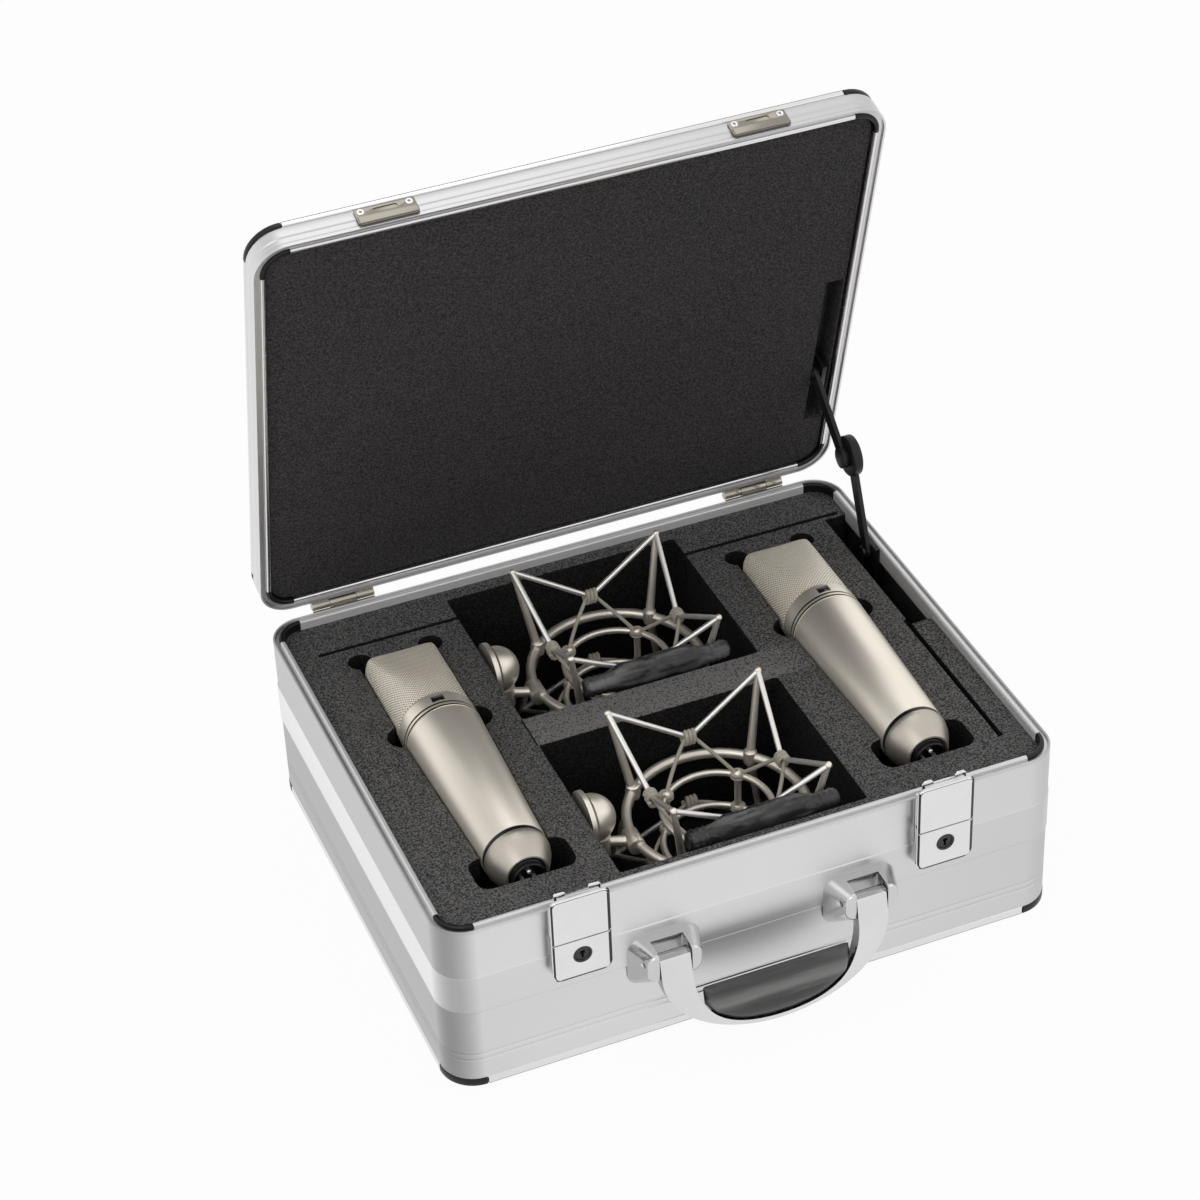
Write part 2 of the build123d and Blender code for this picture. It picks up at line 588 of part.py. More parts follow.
def mic_base(x):
    """Cone below the tube, with a dark groove at its top."""
    return y_turned([(0, TUBE_END_Y), (TUBE_END_R - 1.2, TUBE_END_Y), (TUBE_END_R - 1.2, -102.4),
                     (TUBE_END_R - 0.3, -102.4), (CONE_END_R, CONE_END_Y), (0, CONE_END_Y)], x)


def mic_connector(x):
    """Threaded end with a hollow that shows three pins."""
    plug = y_turned([(0, CONE_END_Y), (CONNECTOR_R, CONE_END_Y), (CONNECTOR_R, CONNECTOR_END_Y),
                     (CONNECTOR_R - 1.4, CONNECTOR_END_Y), (CONNECTOR_R - 1.4, CONE_END_Y - 1.5),
                     (0, CONE_END_Y - 1.5)], x)
    pins = [y_cylinder(1.2, CONE_END_Y - 5, CONE_END_Y - 1, x + 4.5 * cos(radians(a)),
                       MIC_Z + 4.5 * sin(radians(a))) for a in (90, 210, 330)]
    return plug + pins


for side, x in {"left": -MIC_X, "right": MIC_X}.items():
    save(f"mic_{side}_head", mic_head(x))
    save(f"mic_{side}_collar", mic_collar(x))
    save(f"mic_{side}_body", mic_body(x))
    save(f"mic_{side}_base", mic_base(x))
    save(f"mic_{side}_connector", mic_connector(x))

# ---------------------------------------------------------------- shock mounts
MOUNT_X = 8.5
MOUNT_Y = {"front": -81.0, "back": 78.2}
RING_Z = 81.5
RING_R = 56.0
RING_TUBE_R = 3.2
PEAK_XY = 50.0
PEAK_Z = 138.5
VALLEY_R = 43.0
VALLEY_Z = 108.0
LOW_PEAK_Z = 24.5
LOW_VALLEY_Z = 2 * RING_Z - VALLEY_Z
ROD_R = 1.7
TIP_R = 2.3
INNER_CORNER_R = 2.5
FERRULE_H = 4.4
POST_R = 2.7                # where a post leaves its knot
KNOT_R = 4.0
KNOT_H = 9.0
SEAM_TURN = 20.0            # keeps the ring's seam clear of the posts
CAGE_R = 34.0
CAGE_Z = (58.0, 84.0)
CAGE_TUBE_R = 2.1
ELASTIC_R = 1.3
CLAMP_AT = (-57.4, -3.0)
SWIVEL_AT = (-76.5, 3.0)    # X and Y of the boss that carries the knob
KNOB_X = -86.8              # outer face of the knob's flange
KNOB_Z = 103.5
FLANGE_R = 18.2
DOME_R = 15.0
KNOB_NECK_R = 4.6
KNOB_GROOVE = (3.0, 5.2)    # groove between flange and dome, from the flange's face
LUG_GAP = 0.2
QUARTERS = (0, 90, 180, 270)
SLEEVE_X = (-44.0, 53.0)
SLEEVE_Y = -55.9
SLEEVE_Z = 117.4
SLEEVE_HALF = (8.0, 11.3)   # half width and half height of its fuller middle
SLEEVE_END_R = 6.8
SLEEVE_BAND = 12.0
SLEEVE_TAPER = 16.0


def polar(radius, angle, z):
    return (radius * cos(radians(angle)), radius * sin(radians(angle)), z)


def ferrule(radius, height, point, turn):
    """Short upright barrel in which rods meet; turn keeps its seam off them."""
    return Pos(*point) * Rot(0, 0, turn) * Cylinder(radius, height)


def star(tip_z, valley_z):
    """Zigzag of thin rods between four outer tips and four inner corners."""
    pieces = []
    for quarter in QUARTERS:
        tip = polar(hypot(PEAK_XY, PEAK_XY), quarter + 45, tip_z)
        corner = polar(VALLEY_R, quarter, valley_z)
        pieces.append(ferrule(TIP_R, FERRULE_H, tip, quarter + 20))
        pieces.append(ferrule(INNER_CORNER_R, FERRULE_H, corner, quarter + 33))
        for valley_angle in (quarter, quarter + 90):
            pieces.append(rod(tip, polar(VALLEY_R, valley_angle, valley_z), ROD_R))
    return Part() + pieces


def mount_frame():
    """Outer ring with a knot at each quarter, a tapered post up and down from it, and two stars."""
    knots = [polar(RING_R, quarter + 45, RING_Z) for quarter in QUARTERS]
    posts = [ferrule(KNOT_R, KNOT_H, knot, SEAM_TURN) for knot in knots]
    for quarter, knot in zip(QUARTERS, knots):
        for tip_z in (PEAK_Z, LOW_PEAK_Z):
            tip = polar(hypot(PEAK_XY, PEAK_XY), quarter + 45, tip_z)
            posts.append(rod(knot, tip, POST_R, ROD_R))
    ring = Pos(0, 0, RING_Z) * Rot(0, 0, SEAM_TURN) * Torus(RING_R, RING_TUBE_R)
    frame = ring + (Part() + posts)
    frame += star(PEAK_Z, VALLEY_Z)
    return frame + star(LOW_PEAK_Z, LOW_VALLEY_Z)


def mount_cradle():
    """Inner cage that would hold the microphone: two hoops, four posts and four lugs."""
    low, high = CAGE_Z
    pieces = [Pos(0, 0, z) * Torus(CAGE_R, CAGE_TUBE_R) for z in CAGE_Z]
    for quarter in QUARTERS:
        foot, head = polar(CAGE_R, quarter + 45, low), polar(CAGE_R, quarter + 45, high)
        pieces.append(rod(foot, head, CAGE_TUBE_R + 0.3))
        pieces += [Pos(*end) * Sphere(3.6) for end in (foot, head)]
    return Part() + pieces


def mount_elastics():
    """Elastic cords from the star's inner corners to the lugs of the cage."""
    cords = []
    for valley_z, lug_z in ((VALLEY_Z, CAGE_Z[1]), (LOW_VALLEY_Z, CAGE_Z[0])):
        for quarter in QUARTERS:
            valley = polar(VALLEY_R, quarter, valley_z)
            cords += [rod(valley, polar(CAGE_R, quarter + turn, lug_z), ELASTIC_R) for turn in (45, -45)]
    return Part() + cords


def mount_clamp():
    """Swivel: a barrel on the ring, a neck, a boss, and a lug whose eye holds the knob by its neck."""
    x, y = CLAMP_AT
    boss_x, boss_y = SWIVEL_AT
    boss_top = KNOB_Z - DOME_R - 0.6
    barrel = Pos(x, y, RING_Z) * Rot(90, 0, 3) * Cylinder(5.6, 14.0)
    neck = rod((x, y, RING_Z), (boss_x, boss_y, RING_Z + 1), 3.4)
    boss = rod((boss_x, boss_y, RING_Z - 8), (boss_x, boss_y, boss_top), 6.5)
    lug_x0 = KNOB_X + KNOB_GROOVE[0] + LUG_GAP
    lug_x1 = KNOB_X + KNOB_GROOVE[1] - LUG_GAP
    foot = block(lug_x0, boss_x, boss_y - 4.5, boss_y + 4.5, RING_Z - 1, boss_top)
    lug = block(lug_x0, lug_x1, boss_y - 4.5, boss_y + 4.5, RING_Z - 1, KNOB_Z)
    lug += x_cylinder(7.0, lug_x0, lug_x1, boss_y, KNOB_Z)
    clamp = Part() + [barrel, neck, boss, foot, lug]
    return clamp - x_cylinder(KNOB_NECK_R + RUNNING_FIT, lug_x0 - 1, lug_x1 + 1, boss_y, KNOB_Z)


def mount_knob():
    """Domed knob with a broad flange on an axis along X, and a narrow groove for the lug's eye."""
    y = SWIVEL_AT[1]
    low, high = KNOB_X + KNOB_GROOVE[0], KNOB_X + KNOB_GROOVE[1]
    right_half = block(high, high + 2 * DOME_R, y - DOME_R - 1, y + DOME_R + 1,
                       KNOB_Z - DOME_R - 1, KNOB_Z + DOME_R + 1)
    dome = (Pos(high, y, KNOB_Z) * Sphere(DOME_R)) & right_half
    neck = x_cylinder(KNOB_NECK_R, KNOB_X, high + 1, y, KNOB_Z)
    flange = x_cylinder(FLANGE_R, KNOB_X, low, y, KNOB_Z)
    return Part() + [dome, neck, flange]


def mount_sleeve():
    """Soft cable sleeve between the star and the foam: a fuller middle, and a round band at each end."""
    x0, x1 = SLEEVE_X
    wide, tall = SLEEVE_HALF
    full = SLEEVE_BAND + SLEEVE_TAPER
    stations = ((x0, SLEEVE_END_R, SLEEVE_END_R), (x0 + SLEEVE_BAND, SLEEVE_END_R, SLEEVE_END_R),
                (x0 + full, tall, wide), (x1 - full, tall, wide),
                (x1 - SLEEVE_BAND, SLEEVE_END_R, SLEEVE_END_R), (x1, SLEEVE_END_R, SLEEVE_END_R))
    sections = []
    for x, half_height, half_width in stations:
        plane = Plane((x, SLEEVE_Y, SLEEVE_Z), x_dir=(0, 0, 1), z_dir=(1, 0, 0))
        sections.append(plane * Ellipse(half_height, half_width))
    return loft(sections, ruled=True)


mount_parts = {"frame": mount_frame(), "cradle": mount_cradle(), "elastics": mount_elastics(),
               "clamp": mount_clamp(), "knob": mount_knob(), "sleeve": mount_sleeve()}
for place, y in MOUNT_Y.items():
    for name, shape in mount_parts.items():
        save(f"mount_{place}_{name}", Pos(MOUNT_X, y, 0) * shape)
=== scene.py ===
# %% [markdown]
# # An aluminium case for two microphones
# The case is already built as an engineering model: every wall, hinge pin and latch has its real size
# and place. This lesson dresses that model. We load it as a fixed frame, give every piece a procedural
# finish, and model what a solid modeller leaves plain: foam with soft cut edges, wire mesh, elastic
# cords, a moulded grip. All lengths in the script are metres unless a name ends in _mm.

# %% Load the frame
import json
import bmesh
import bpy
from math import atan2, cos, hypot, pi, radians, sin, tau
from mathutils import Matrix, Vector, noise


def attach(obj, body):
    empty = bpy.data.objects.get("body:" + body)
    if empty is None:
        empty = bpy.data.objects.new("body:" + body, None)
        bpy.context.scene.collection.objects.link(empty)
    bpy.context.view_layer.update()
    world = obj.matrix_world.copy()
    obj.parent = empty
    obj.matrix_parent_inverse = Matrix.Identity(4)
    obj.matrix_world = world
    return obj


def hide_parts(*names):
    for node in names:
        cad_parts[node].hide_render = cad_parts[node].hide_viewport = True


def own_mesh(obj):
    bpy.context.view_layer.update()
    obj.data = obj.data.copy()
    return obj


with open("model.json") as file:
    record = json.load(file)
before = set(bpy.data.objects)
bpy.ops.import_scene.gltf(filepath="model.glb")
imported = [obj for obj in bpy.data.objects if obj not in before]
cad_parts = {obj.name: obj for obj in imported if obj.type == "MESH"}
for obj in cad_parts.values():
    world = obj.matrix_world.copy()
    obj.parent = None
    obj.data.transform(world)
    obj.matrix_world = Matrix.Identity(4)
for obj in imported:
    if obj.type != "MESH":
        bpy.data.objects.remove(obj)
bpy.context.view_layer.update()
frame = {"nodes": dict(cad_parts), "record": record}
MM = 0.001
body_of_node = {node: body for body, nodes in frame["record"]["behaviour"]["bodies"].items()
                for node in nodes}
slot_of_node = {row["node"]: row["material_slot"] for row in frame["record"]["subparts"]}
X_AXIS, Y_AXIS, Z_AXIS = Vector((1, 0, 0)), Vector((0, 1, 0)), Vector((0, 0, 1))


def placed(name, data):
    """A new object of the scene, at the origin, for a mesh, a lamp or a camera."""
    obj = bpy.data.objects.new(name, data)
    bpy.context.scene.collection.objects.link(obj)
    return obj


def smooth(share):
    """An S-curve from 0 to 1, for numbers and for fields."""
    return share * share * (3 - share * 2)


# %% [markdown]
# ## Camera
# The case is seen from above and from its left, as on a product page. A camera is placed by three
# angles and a distance from the point that it looks at. Its axes are worked out from the angles, so
# that no rotation order can surprise us. The long lens keeps the case's edges nearly parallel.

# %% Camera
CAMERA_YAW = radians(-20.82)
CAMERA_PITCH = radians(36.66)
CAMERA_ROLL = radians(-2.63)
CAMERA_TARGET = Vector((0.01919, 0.13980, 0.100))
CAMERA_DISTANCE = 2.18417
LENS_MM = 99.784
SENSOR_MM = 36.0
SHIFT = (0.0040, -0.0112)


def camera_axes(yaw, pitch, roll):
    """Right, up and backward directions of a camera with these angles."""
    back = Vector((sin(yaw) * cos(pitch), -cos(yaw) * cos(pitch), sin(pitch)))
    level = Vector((cos(yaw), sin(yaw), 0))
    upright = back.cross(level)
    right = cos(roll) * level + sin(roll) * upright
    up = -sin(roll) * level + cos(roll) * upright
    return right, up, back


right, up, back = camera_axes(CAMERA_YAW, CAMERA_PITCH, CAMERA_ROLL)
camera = placed("camera", bpy.data.cameras.new("camera"))
camera.matrix_world = Matrix.Translation(CAMERA_TARGET + back * CAMERA_DISTANCE) @ Matrix(
    (right, up, back)).transposed().to_4x4()
camera.data.sensor_width = SENSOR_MM
camera.data.lens = LENS_MM
camera.data.shift_x, camera.data.shift_y = SHIFT
camera.data.clip_end = 50.0
bpy.context.scene.camera = camera
print("camera at", [round(value, 3) for value in camera.matrix_world.translation])

# %% [markdown]
# ## Writing a material as a sum
# A procedural finish is a tree of small nodes. Written out node by node it is long and hard to read,
# so a Field wraps one socket, and Python's own operators add the Math nodes: `1 - wear * 0.3` becomes
# three nodes. A Finish is one material with its shader, and it makes every other node through one method.

# %% Field and Finish
BRIGHTEST = 1.25


def lit(color, factor=1.0):
    """An opaque colour of the same hue, lighter or darker."""
    return (*(channel * factor for channel in color), 1.0)


def operator(operation, swapped=False):
    """A method that adds one Math node for a field and what follows it."""
    def apply(field, *others):
        return field.math(operation, *others, field) if swapped else field.math(operation, field, *others)
    return apply


class Field:
    """A value that varies over a surface. Arithmetic on it adds Math nodes."""

    def __init__(self, finish, socket):
        self.finish = finish
        self.socket = socket

    def math(self, operation, *operands):
        return self.finish.node("ShaderNodeMath", {"operation": operation}, dict(enumerate(operands)))

    def clamp(self):
        return self.finish.node("ShaderNodeClamp", {}, {"Value": self})

    __add__, __radd__ = operator("ADD"), operator("ADD", True)
    __sub__, __rsub__ = operator("SUBTRACT"), operator("SUBTRACT", True)
    __mul__, __rmul__ = operator("MULTIPLY"), operator("MULTIPLY", True)
    __truediv__, __pow__ = operator("DIVIDE"), operator("POWER")
    sine, size, sign = operator("SINE"), operator("ABSOLUTE"), operator("SIGN")
    below, above = operator("LESS_THAN"), operator("GREATER_THAN")


class Finish:
    """One material: its shader, and the fields that feed it."""

    def __init__(self, name, color, roughness, metallic=0.0, specular=0.5):
        self.material = bpy.data.materials.new(name)
        self.material.use_nodes = True
        self.tree = self.material.node_tree
        self.shader = self.tree.nodes["Principled BSDF"]
        self.set("Base Color", lit(color))
        self.set("Roughness", roughness)
        self.set("Metallic", metallic)
        self.set("Specular IOR Level", specular)
        self.coords = self.node("ShaderNodeTexCoord", {}, {}, "Object")

    def node(self, kind, settings, inputs, output=0):
        """Add a node: settings first, then the values or links of its sockets."""
        made = self.tree.nodes.new(kind)
        for key, value in settings.items():
            if key == "stops":
                self.stops(made.color_ramp, value)
            else:
                setattr(made, key, value)
        for key, value in inputs.items():
            self.feed(made.inputs[key], value)
        return Field(self, made.outputs[output])

    def feed(self, socket, value):
        """Give a socket a link from a field, or a constant."""
        if isinstance(value, Field):
            self.tree.links.new(value.socket, socket)
        else:
            socket.default_value = value

    def stops(self, ramp, stops):
        """Grey stops of a colour ramp: (place, value) from left to right."""
        while len(ramp.elements) < len(stops):
            ramp.elements.new(0.5)
        for element, (place, value) in zip(ramp.elements, stops):
            element.position = place
            element.color = (value, value, value, 1.0)

    def set(self, name, value):
        self.feed(self.shader.inputs[name], value)

    def noise(self, scale, detail=3.0, roughness=0.5, where=None):
        return self.node("ShaderNodeTexNoise", {}, {"Vector": where or self.coords, "Scale": scale,
                                                     "Detail": detail, "Roughness": roughness})

    def drawn(self, scale, scale_by_axis, detail=2.0):
        """A noise that is stretched by multiplying the coordinates by a scale along each axis."""
        where = self.node("ShaderNodeMapping", {}, {"Vector": self.coords, "Scale": scale_by_axis})
        return self.noise(scale, detail, where=where)

    def cells(self, scale):
        return self.node("ShaderNodeTexVoronoi", {}, {"Vector": self.coords, "Scale": scale})

    def ramp(self, field, *stops):
        return self.node("ShaderNodeValToRGB", {"stops": stops}, {"Fac": field})

    def part(self, axis, where=None):
        """One coordinate, 0 to 2, of the object coordinates or of another vector."""
        return self.node("ShaderNodeSeparateXYZ", {}, {"Vector": where or self.coords}, axis)

    def mix(self, factor, first, second):
        """Blend two colours."""
        return self.node("ShaderNodeMix", {"data_type": "RGBA"}, {0: factor, 6: first, 7: second}, 2)

    def tint(self, tone, color, dark):
        """Colour the surface by a tone: 1 gives the colour itself, and it goes no lower than dark."""
        light = (tone - dark) / (BRIGHTEST - dark)
        self.set("Base Color", self.mix(light, lit(color, dark), lit(color, BRIGHTEST)))

    def bump(self, height, depth_mm, strength=1.0):
        """Raise the surface by height, a field from 0 to 1, times depth_mm."""
        self.set("Normal", self.node("ShaderNodeBump", {}, {
            "Height": height, "Distance": depth_mm * MM, "Strength": strength}))


# %% [markdown]
# ## Aluminium, nickel and chrome
# Sheet aluminium is drawn through rollers, which leaves a fine grain along its length and cloudy
# patches that are a little duller. Both go into roughness and, faintly, into colour. The grain is a
# noise that is stretched a hundred times along one axis. Plated steel has no grain, only faint wipes.

# %% Metal finishes
def metal(name, color, roughness, grain=(0, 0, 0), grain_mm=0.0, wear=0.25, metallic=1.0):
    """A metal with rolling grain, cloudy patches and short fine scratches."""
    finish = Finish(name, color, roughness, metallic)
    clouds = finish.noise(9.0, 3.0)
    lines = finish.drawn(1.0, grain) if any(grain) else finish.drawn(60.0, (1.0, 0.25, 1.0), 4.0)
    scratches = finish.ramp(finish.drawn(240.0, (1.0, 0.05, 0.6)), (0.66, 0.0), (0.74, 1.0))
    dull = clouds * 0.5 + lines * 0.5
    finish.set("Roughness", (dull * wear + (roughness - wear * 0.5) + scratches * 0.08).clamp())
    patches = finish.ramp(dull, (0.3, 0.0), (0.7, 1.0))
    finish.set("Base Color", finish.mix(patches, lit(color, 0.94), lit(color, 1.03)))
    if grain_mm:
        finish.bump(lines, grain_mm)
    return finish.material


def sheet(finish, color, tone, grain, grain_mm, lines_show):
    """Drawn sheet: fine lines along the rollers and clouds, over a tone by place that is painted light
    and shade.
    """
    lines = finish.drawn(1.0, grain)
    clouds = finish.noise(7.0, 3.0)
    finish.tint(tone + (lines - 0.5) * lines_show + (clouds - 0.5) * 0.08, color, 0.3)
    finish.set("Roughness", (clouds * 0.14 + lines * 0.10 + 0.24).clamp())
    finish.bump(lines, grain_mm)
    return finish.material


def wall_finish(name, color):
    """The base's wall: the raised band, the sides and the round corners differ in tone, which is painted
    light and shade: painted reflections brighten the band, and painted shade darkens the sides, the
    corners, the lower sides and the front's right.
    """
    finish = Finish(name, color, 0.34, 1.0)
    x, y, z = (finish.part(axis) for axis in range(3))
    band = z.above(BAND_Z[0]) * z.below(BAND_Z[1])
    low = z.below(BAND_Z[0])
    out_x = ((x.size() - 0.178) * 50).clamp()
    out_y = ((y.size() - 0.141) * 50).clamp()
    corner, side = out_x * out_y * (1 - x.above(0) * 0.6), out_x * (1 - out_y)
    front = out_y * (1 - out_x)
    # Painted light and shade by place: darker sides, much darker round corners (most on the left), darker
    # lower sides, and a front that darkens to its right; a painted reflection brightens the band on the
    # sides and corners, and the front above the band.
    tone = (1 - side * 0.22 - corner * 0.85 - low * side * 0.16 + band * (side * 0.44 + corner * 0.14)
            + front * z.above(BAND_Z[1]) * 0.05 - front * (0.03 + (x * 5).clamp() * 0.12))
    finish.set("Metallic", 1 - z.above(LIP_Z) * 0.8)
    return sheet(finish, color, tone, (8, 8, 1400), 0.012, 0.05)


def lid_finish(name, color):
    """The lid's wall and top: painted light makes the ends brighter than the long sides."""
    finish = Finish(name, color, 0.34, 1.0)
    # Painted light: the lid's ends are brightened by place.
    ends = ((finish.part(0).size() - 0.190) * 100).clamp()
    return sheet(finish, color, 0.80 + ends * 0.30, (8, 300, 900), 0.010, 0.06)


def tube_finish(name, color, axis_x):
    """Satin nickel on two parallel tubes, with painted reflections: dark stripes to the left and at the
    right edge, a painted highlight between them, and painted light towards the collar.
    """
    finish = Finish(name, color, 0.44, 0.72)
    x, y = finish.part(0), finish.part(1)
    across = x - x.sign() * axis_x
    # Painted light, brighter towards the collar.
    painted_light_near_collar = ((y + 0.06) / 0.075).clamp()
    marks = finish.drawn(1.0, (1200, 6, 1200))
    clouds = finish.noise(9.0, 3.0)
    tone = 1.10 + painted_light_near_collar * 0.13 + (marks - 0.5) * 0.05 + (clouds - 0.5) * 0.06
    # Painted reflections across each tube: a dark stripe left of the axis, a painted highlight just right
    # of it, and painted shade at the right edge.
    for centre, width, strength in ((-0.0105, 0.010, -0.26), (0.005, 0.008, 0.12), (0.024, 0.012, -0.32)):
        share = (1 - (across - centre).size() / width).clamp()
        tone = tone + smooth(share) * strength
    finish.tint(tone, color, 0.4)
    finish.set("Roughness", (clouds * 0.08 + marks * 0.06 + 0.34).clamp())
    finish.bump(marks, 0.015)
    return finish.material


BAND_Z, LIP_Z = (0.060, 0.087), 0.1213
shell = wall_finish("shell_aluminium", (0.72, 0.715, 0.72))
lid_shell = lid_finish("lid_aluminium", (0.70, 0.695, 0.70))
rim_bead = metal("rim_aluminium", (0.80, 0.795, 0.80), 0.30, (6, 6, 900), 0.01, 0.2, 0.3)
rail = metal("rail_aluminium", (0.76, 0.755, 0.76), 0.22, (6, 6, 900), 0.01)
nickel = metal("nickel_plate", (0.40, 0.37, 0.32), 0.20, wear=0.16)
latch_face = metal("latch_plate", (0.78, 0.775, 0.78), 0.28, wear=0.14)
# Painted shade: a near-black metal for rims and bends that stand in shade, and painted shadow at the
# case's foot.
painted_shade_edge = metal("painted_shade_edge", (0.05, 0.05, 0.055), 0.30, wear=0.14)
casting = metal("handle_chrome", (0.72, 0.715, 0.72), 0.20, wear=0.14)
# Painted shade: the brackets' chrome is a darker copy of the handle's chrome, and the next finish is
# darker still, for their flanks.
bracket_chrome = metal("bracket_chrome", (0.62, 0.615, 0.62), 0.18, wear=0.12)
painted_shade_chrome = metal("painted_shade_chrome", (0.36, 0.355, 0.36), 0.16, wear=0.12)
striker_nickel = metal("striker_nickel", (0.28, 0.258, 0.222), 0.20, wear=0.14)
# Painted shade: a dark nickel for the strikers' rims and slots.
painted_shade_nickel = metal("painted_shade_nickel", (0.13, 0.12, 0.105), 0.22, wear=0.12)
mic_satin = tube_finish("microphone_satin", (0.80, 0.745, 0.655), 0.1303)
mic_cone = metal("microphone_cone", (0.54, 0.50, 0.44), 0.40, (1200, 6, 1200), 0.015, 0.12, 0.80)
mount_satin = metal("mount_satin", (0.90, 0.84, 0.75), 0.40, wear=0.16, metallic=0.75)
star_wire = metal("star_wire", (0.82, 0.80, 0.77), 0.34, wear=0.14, metallic=0.75)
print("metals:", len(bpy.data.materials))

# %% [markdown]
# ## Foam, plastic, leather and elastic
# Open-cell foam is a mass of tiny bubbles cut through. Two cell patterns of different size give the
# pits, and a few cells catch the light as pale specks. Moulded plastic has a fine spark grain, the
# sleeve is soft leather with a pebbled skin, and the elastic cord is braided.

# %% Soft and moulded finishes
BRIDGE_X, BRIDGE_Y = -0.0826, (-0.0169, 0.0105)


def foam_finish(name, dark, pale, cell_mm, top=None):
    """Cut foam: below a given top the cuts take painted shade, and a paler strip lies between pockets."""
    finish = Finish(name, dark, 0.95, specular=0.1)
    cell = 1.0 / (cell_mm * MM)
    pits = finish.cells(cell)
    fine = finish.cells(cell * 2.1)
    patches = finish.noise(14.0, 3.0)
    specks = finish.ramp(finish.noise(cell, 3.0, 0.7), (0.40, 0.0), (0.62, 1.0))
    light = (specks * 0.85 + (1 - fine) * 0.2 + patches * 0.12 - 0.1).clamp()
    ground = lit(dark)
    if top is not None:
        x, y, z = (finish.part(axis) for axis in range(3))
        strip = y.above(BRIDGE_Y[0]) * y.below(BRIDGE_Y[1])
        bridge = strip * x.above(BRIDGE_X) * ((0.11 - x) * 30).clamp()
        seam = strip * (x - BRIDGE_X).size().below(0.0006)
        # Painted shade: the cut walls of the pockets darken below the foam's top.
        painted_shade_depth = ((top - z) * 2000).clamp()
        light = (light + bridge * (light * 0.9 + 0.10)).clamp() * (1 - painted_shade_depth * 0.9) * (1 - seam)
        ground = finish.mix(painted_shade_depth, ground, lit(dark, 0.22))
    finish.set("Base Color", finish.mix(light, ground, lit(pale)))
    finish.bump(pits * 0.7 + fine * 0.3, 0.5, 0.7)
    return finish.material


def moulded_finish(name, color, roughness, grain_mm=0.9, depth_mm=0.03, specular=0.3, streak_highlight_grey=0.0):
    """A grained skin. Its last argument, where given, is the grey of painted highlights that lie as
    streaks along X.
    """
    finish = Finish(name, color, roughness, specular=specular)
    grain = finish.cells(1.0 / (grain_mm * MM))
    rub = finish.noise(35.0, 4.0)
    finish.set("Roughness", (rub * 0.22 + (roughness - 0.10)).clamp())
    tone = finish.mix(finish.ramp(rub, (0.35, 0.0), (0.75, 1.0)), lit(color), lit(color, 1.6))
    if streak_highlight_grey:
        # Painted highlights: pale streaks along X where the skin would mirror the lights.
        highlight_streaks = finish.drawn(1.0, (14, 130, 130), 3.0)
        tone = finish.mix(finish.ramp(highlight_streaks, (0.50, 0.0), (0.72, 1.0)), tone, lit((streak_highlight_grey,) * 3))
    finish.set("Base Color", tone)
    finish.bump(grain, depth_mm)
    return finish.material


def grip_finish(name, color, pale, z_span):
    """The grip's skin: painted highlights as pale streaks along its rounded middle, and painted shade
    towards its lower edge.
    """
    finish = Finish(name, color, 0.30, specular=0.6)
    highlight_streaks = finish.drawn(1.0, (9, 60, 110), 3.0)
    height = ((finish.part(2) - z_span[0]) / (z_span[1] - z_span[0])).clamp()
    # Painted highlights where the round section would mirror the lights, none at the lower edge; painted
    # light grows a little upwards.
    highlight_band = finish.ramp(height, (0.0, 0.0), (0.35, 0.25), (0.62, 1.0), (0.85, 0.35))
    light = (finish.ramp(highlight_streaks, (0.46, 0.04), (0.62, 1.0)) * highlight_band + height * 0.04).clamp()
    finish.set("Base Color", finish.mix(light, lit(color), lit(pale)))
    finish.bump(finish.cells(700.0), 0.05)
    return finish.material


def weave_finish(name, color, pitch_mm):
    """Woven wire: two sets of wires at 45 degrees, read from the UV map that is laid in metres."""
    finish = Finish(name, color, 0.42, 0.45)
    place = finish.node("ShaderNodeUVMap", {"uv_map": "weave"}, {})
    across, along = finish.part(0, place), finish.part(1, place)
    turn = pi / (pitch_mm * MM)
    wires = ((across + along) * turn).sine() * ((across - along) * turn).sine()
    height = wires.size() ** 0.5
    worn = finish.noise(26.0, 3.0)
    light = (height * 1.6 + worn * 0.3 - 0.35).clamp()
    finish.set("Base Color", finish.mix(light, lit(color, 0.30), lit(color, 1.65)))
    finish.set("Roughness", (worn * 0.2 + 0.34).clamp())
    finish.bump(height, 0.4)
    return finish.material


def braid_finish(name, color):
    """Elastic cord: a fine braid, paler where it is stretched."""
    finish = Finish(name, color, 0.62, specular=0.35)
    strands = finish.cells(1800.0)
    stretch = finish.noise(120.0, 2.0)
    light = (strands * 0.6 + stretch * 0.5).clamp()
    finish.set("Base Color", finish.mix(light, lit(color, 0.72), lit(color, 1.25)))
    finish.bump(strands, 0.12)
    return finish.material


def glass_finish(name, color):
    """Dark glass with smears."""
    finish = Finish(name, color, 0.08, specular=0.6)
    smear = finish.noise(300.0, 3.0)
    finish.set("Roughness", smear * 0.12 + 0.04)
    return finish.material


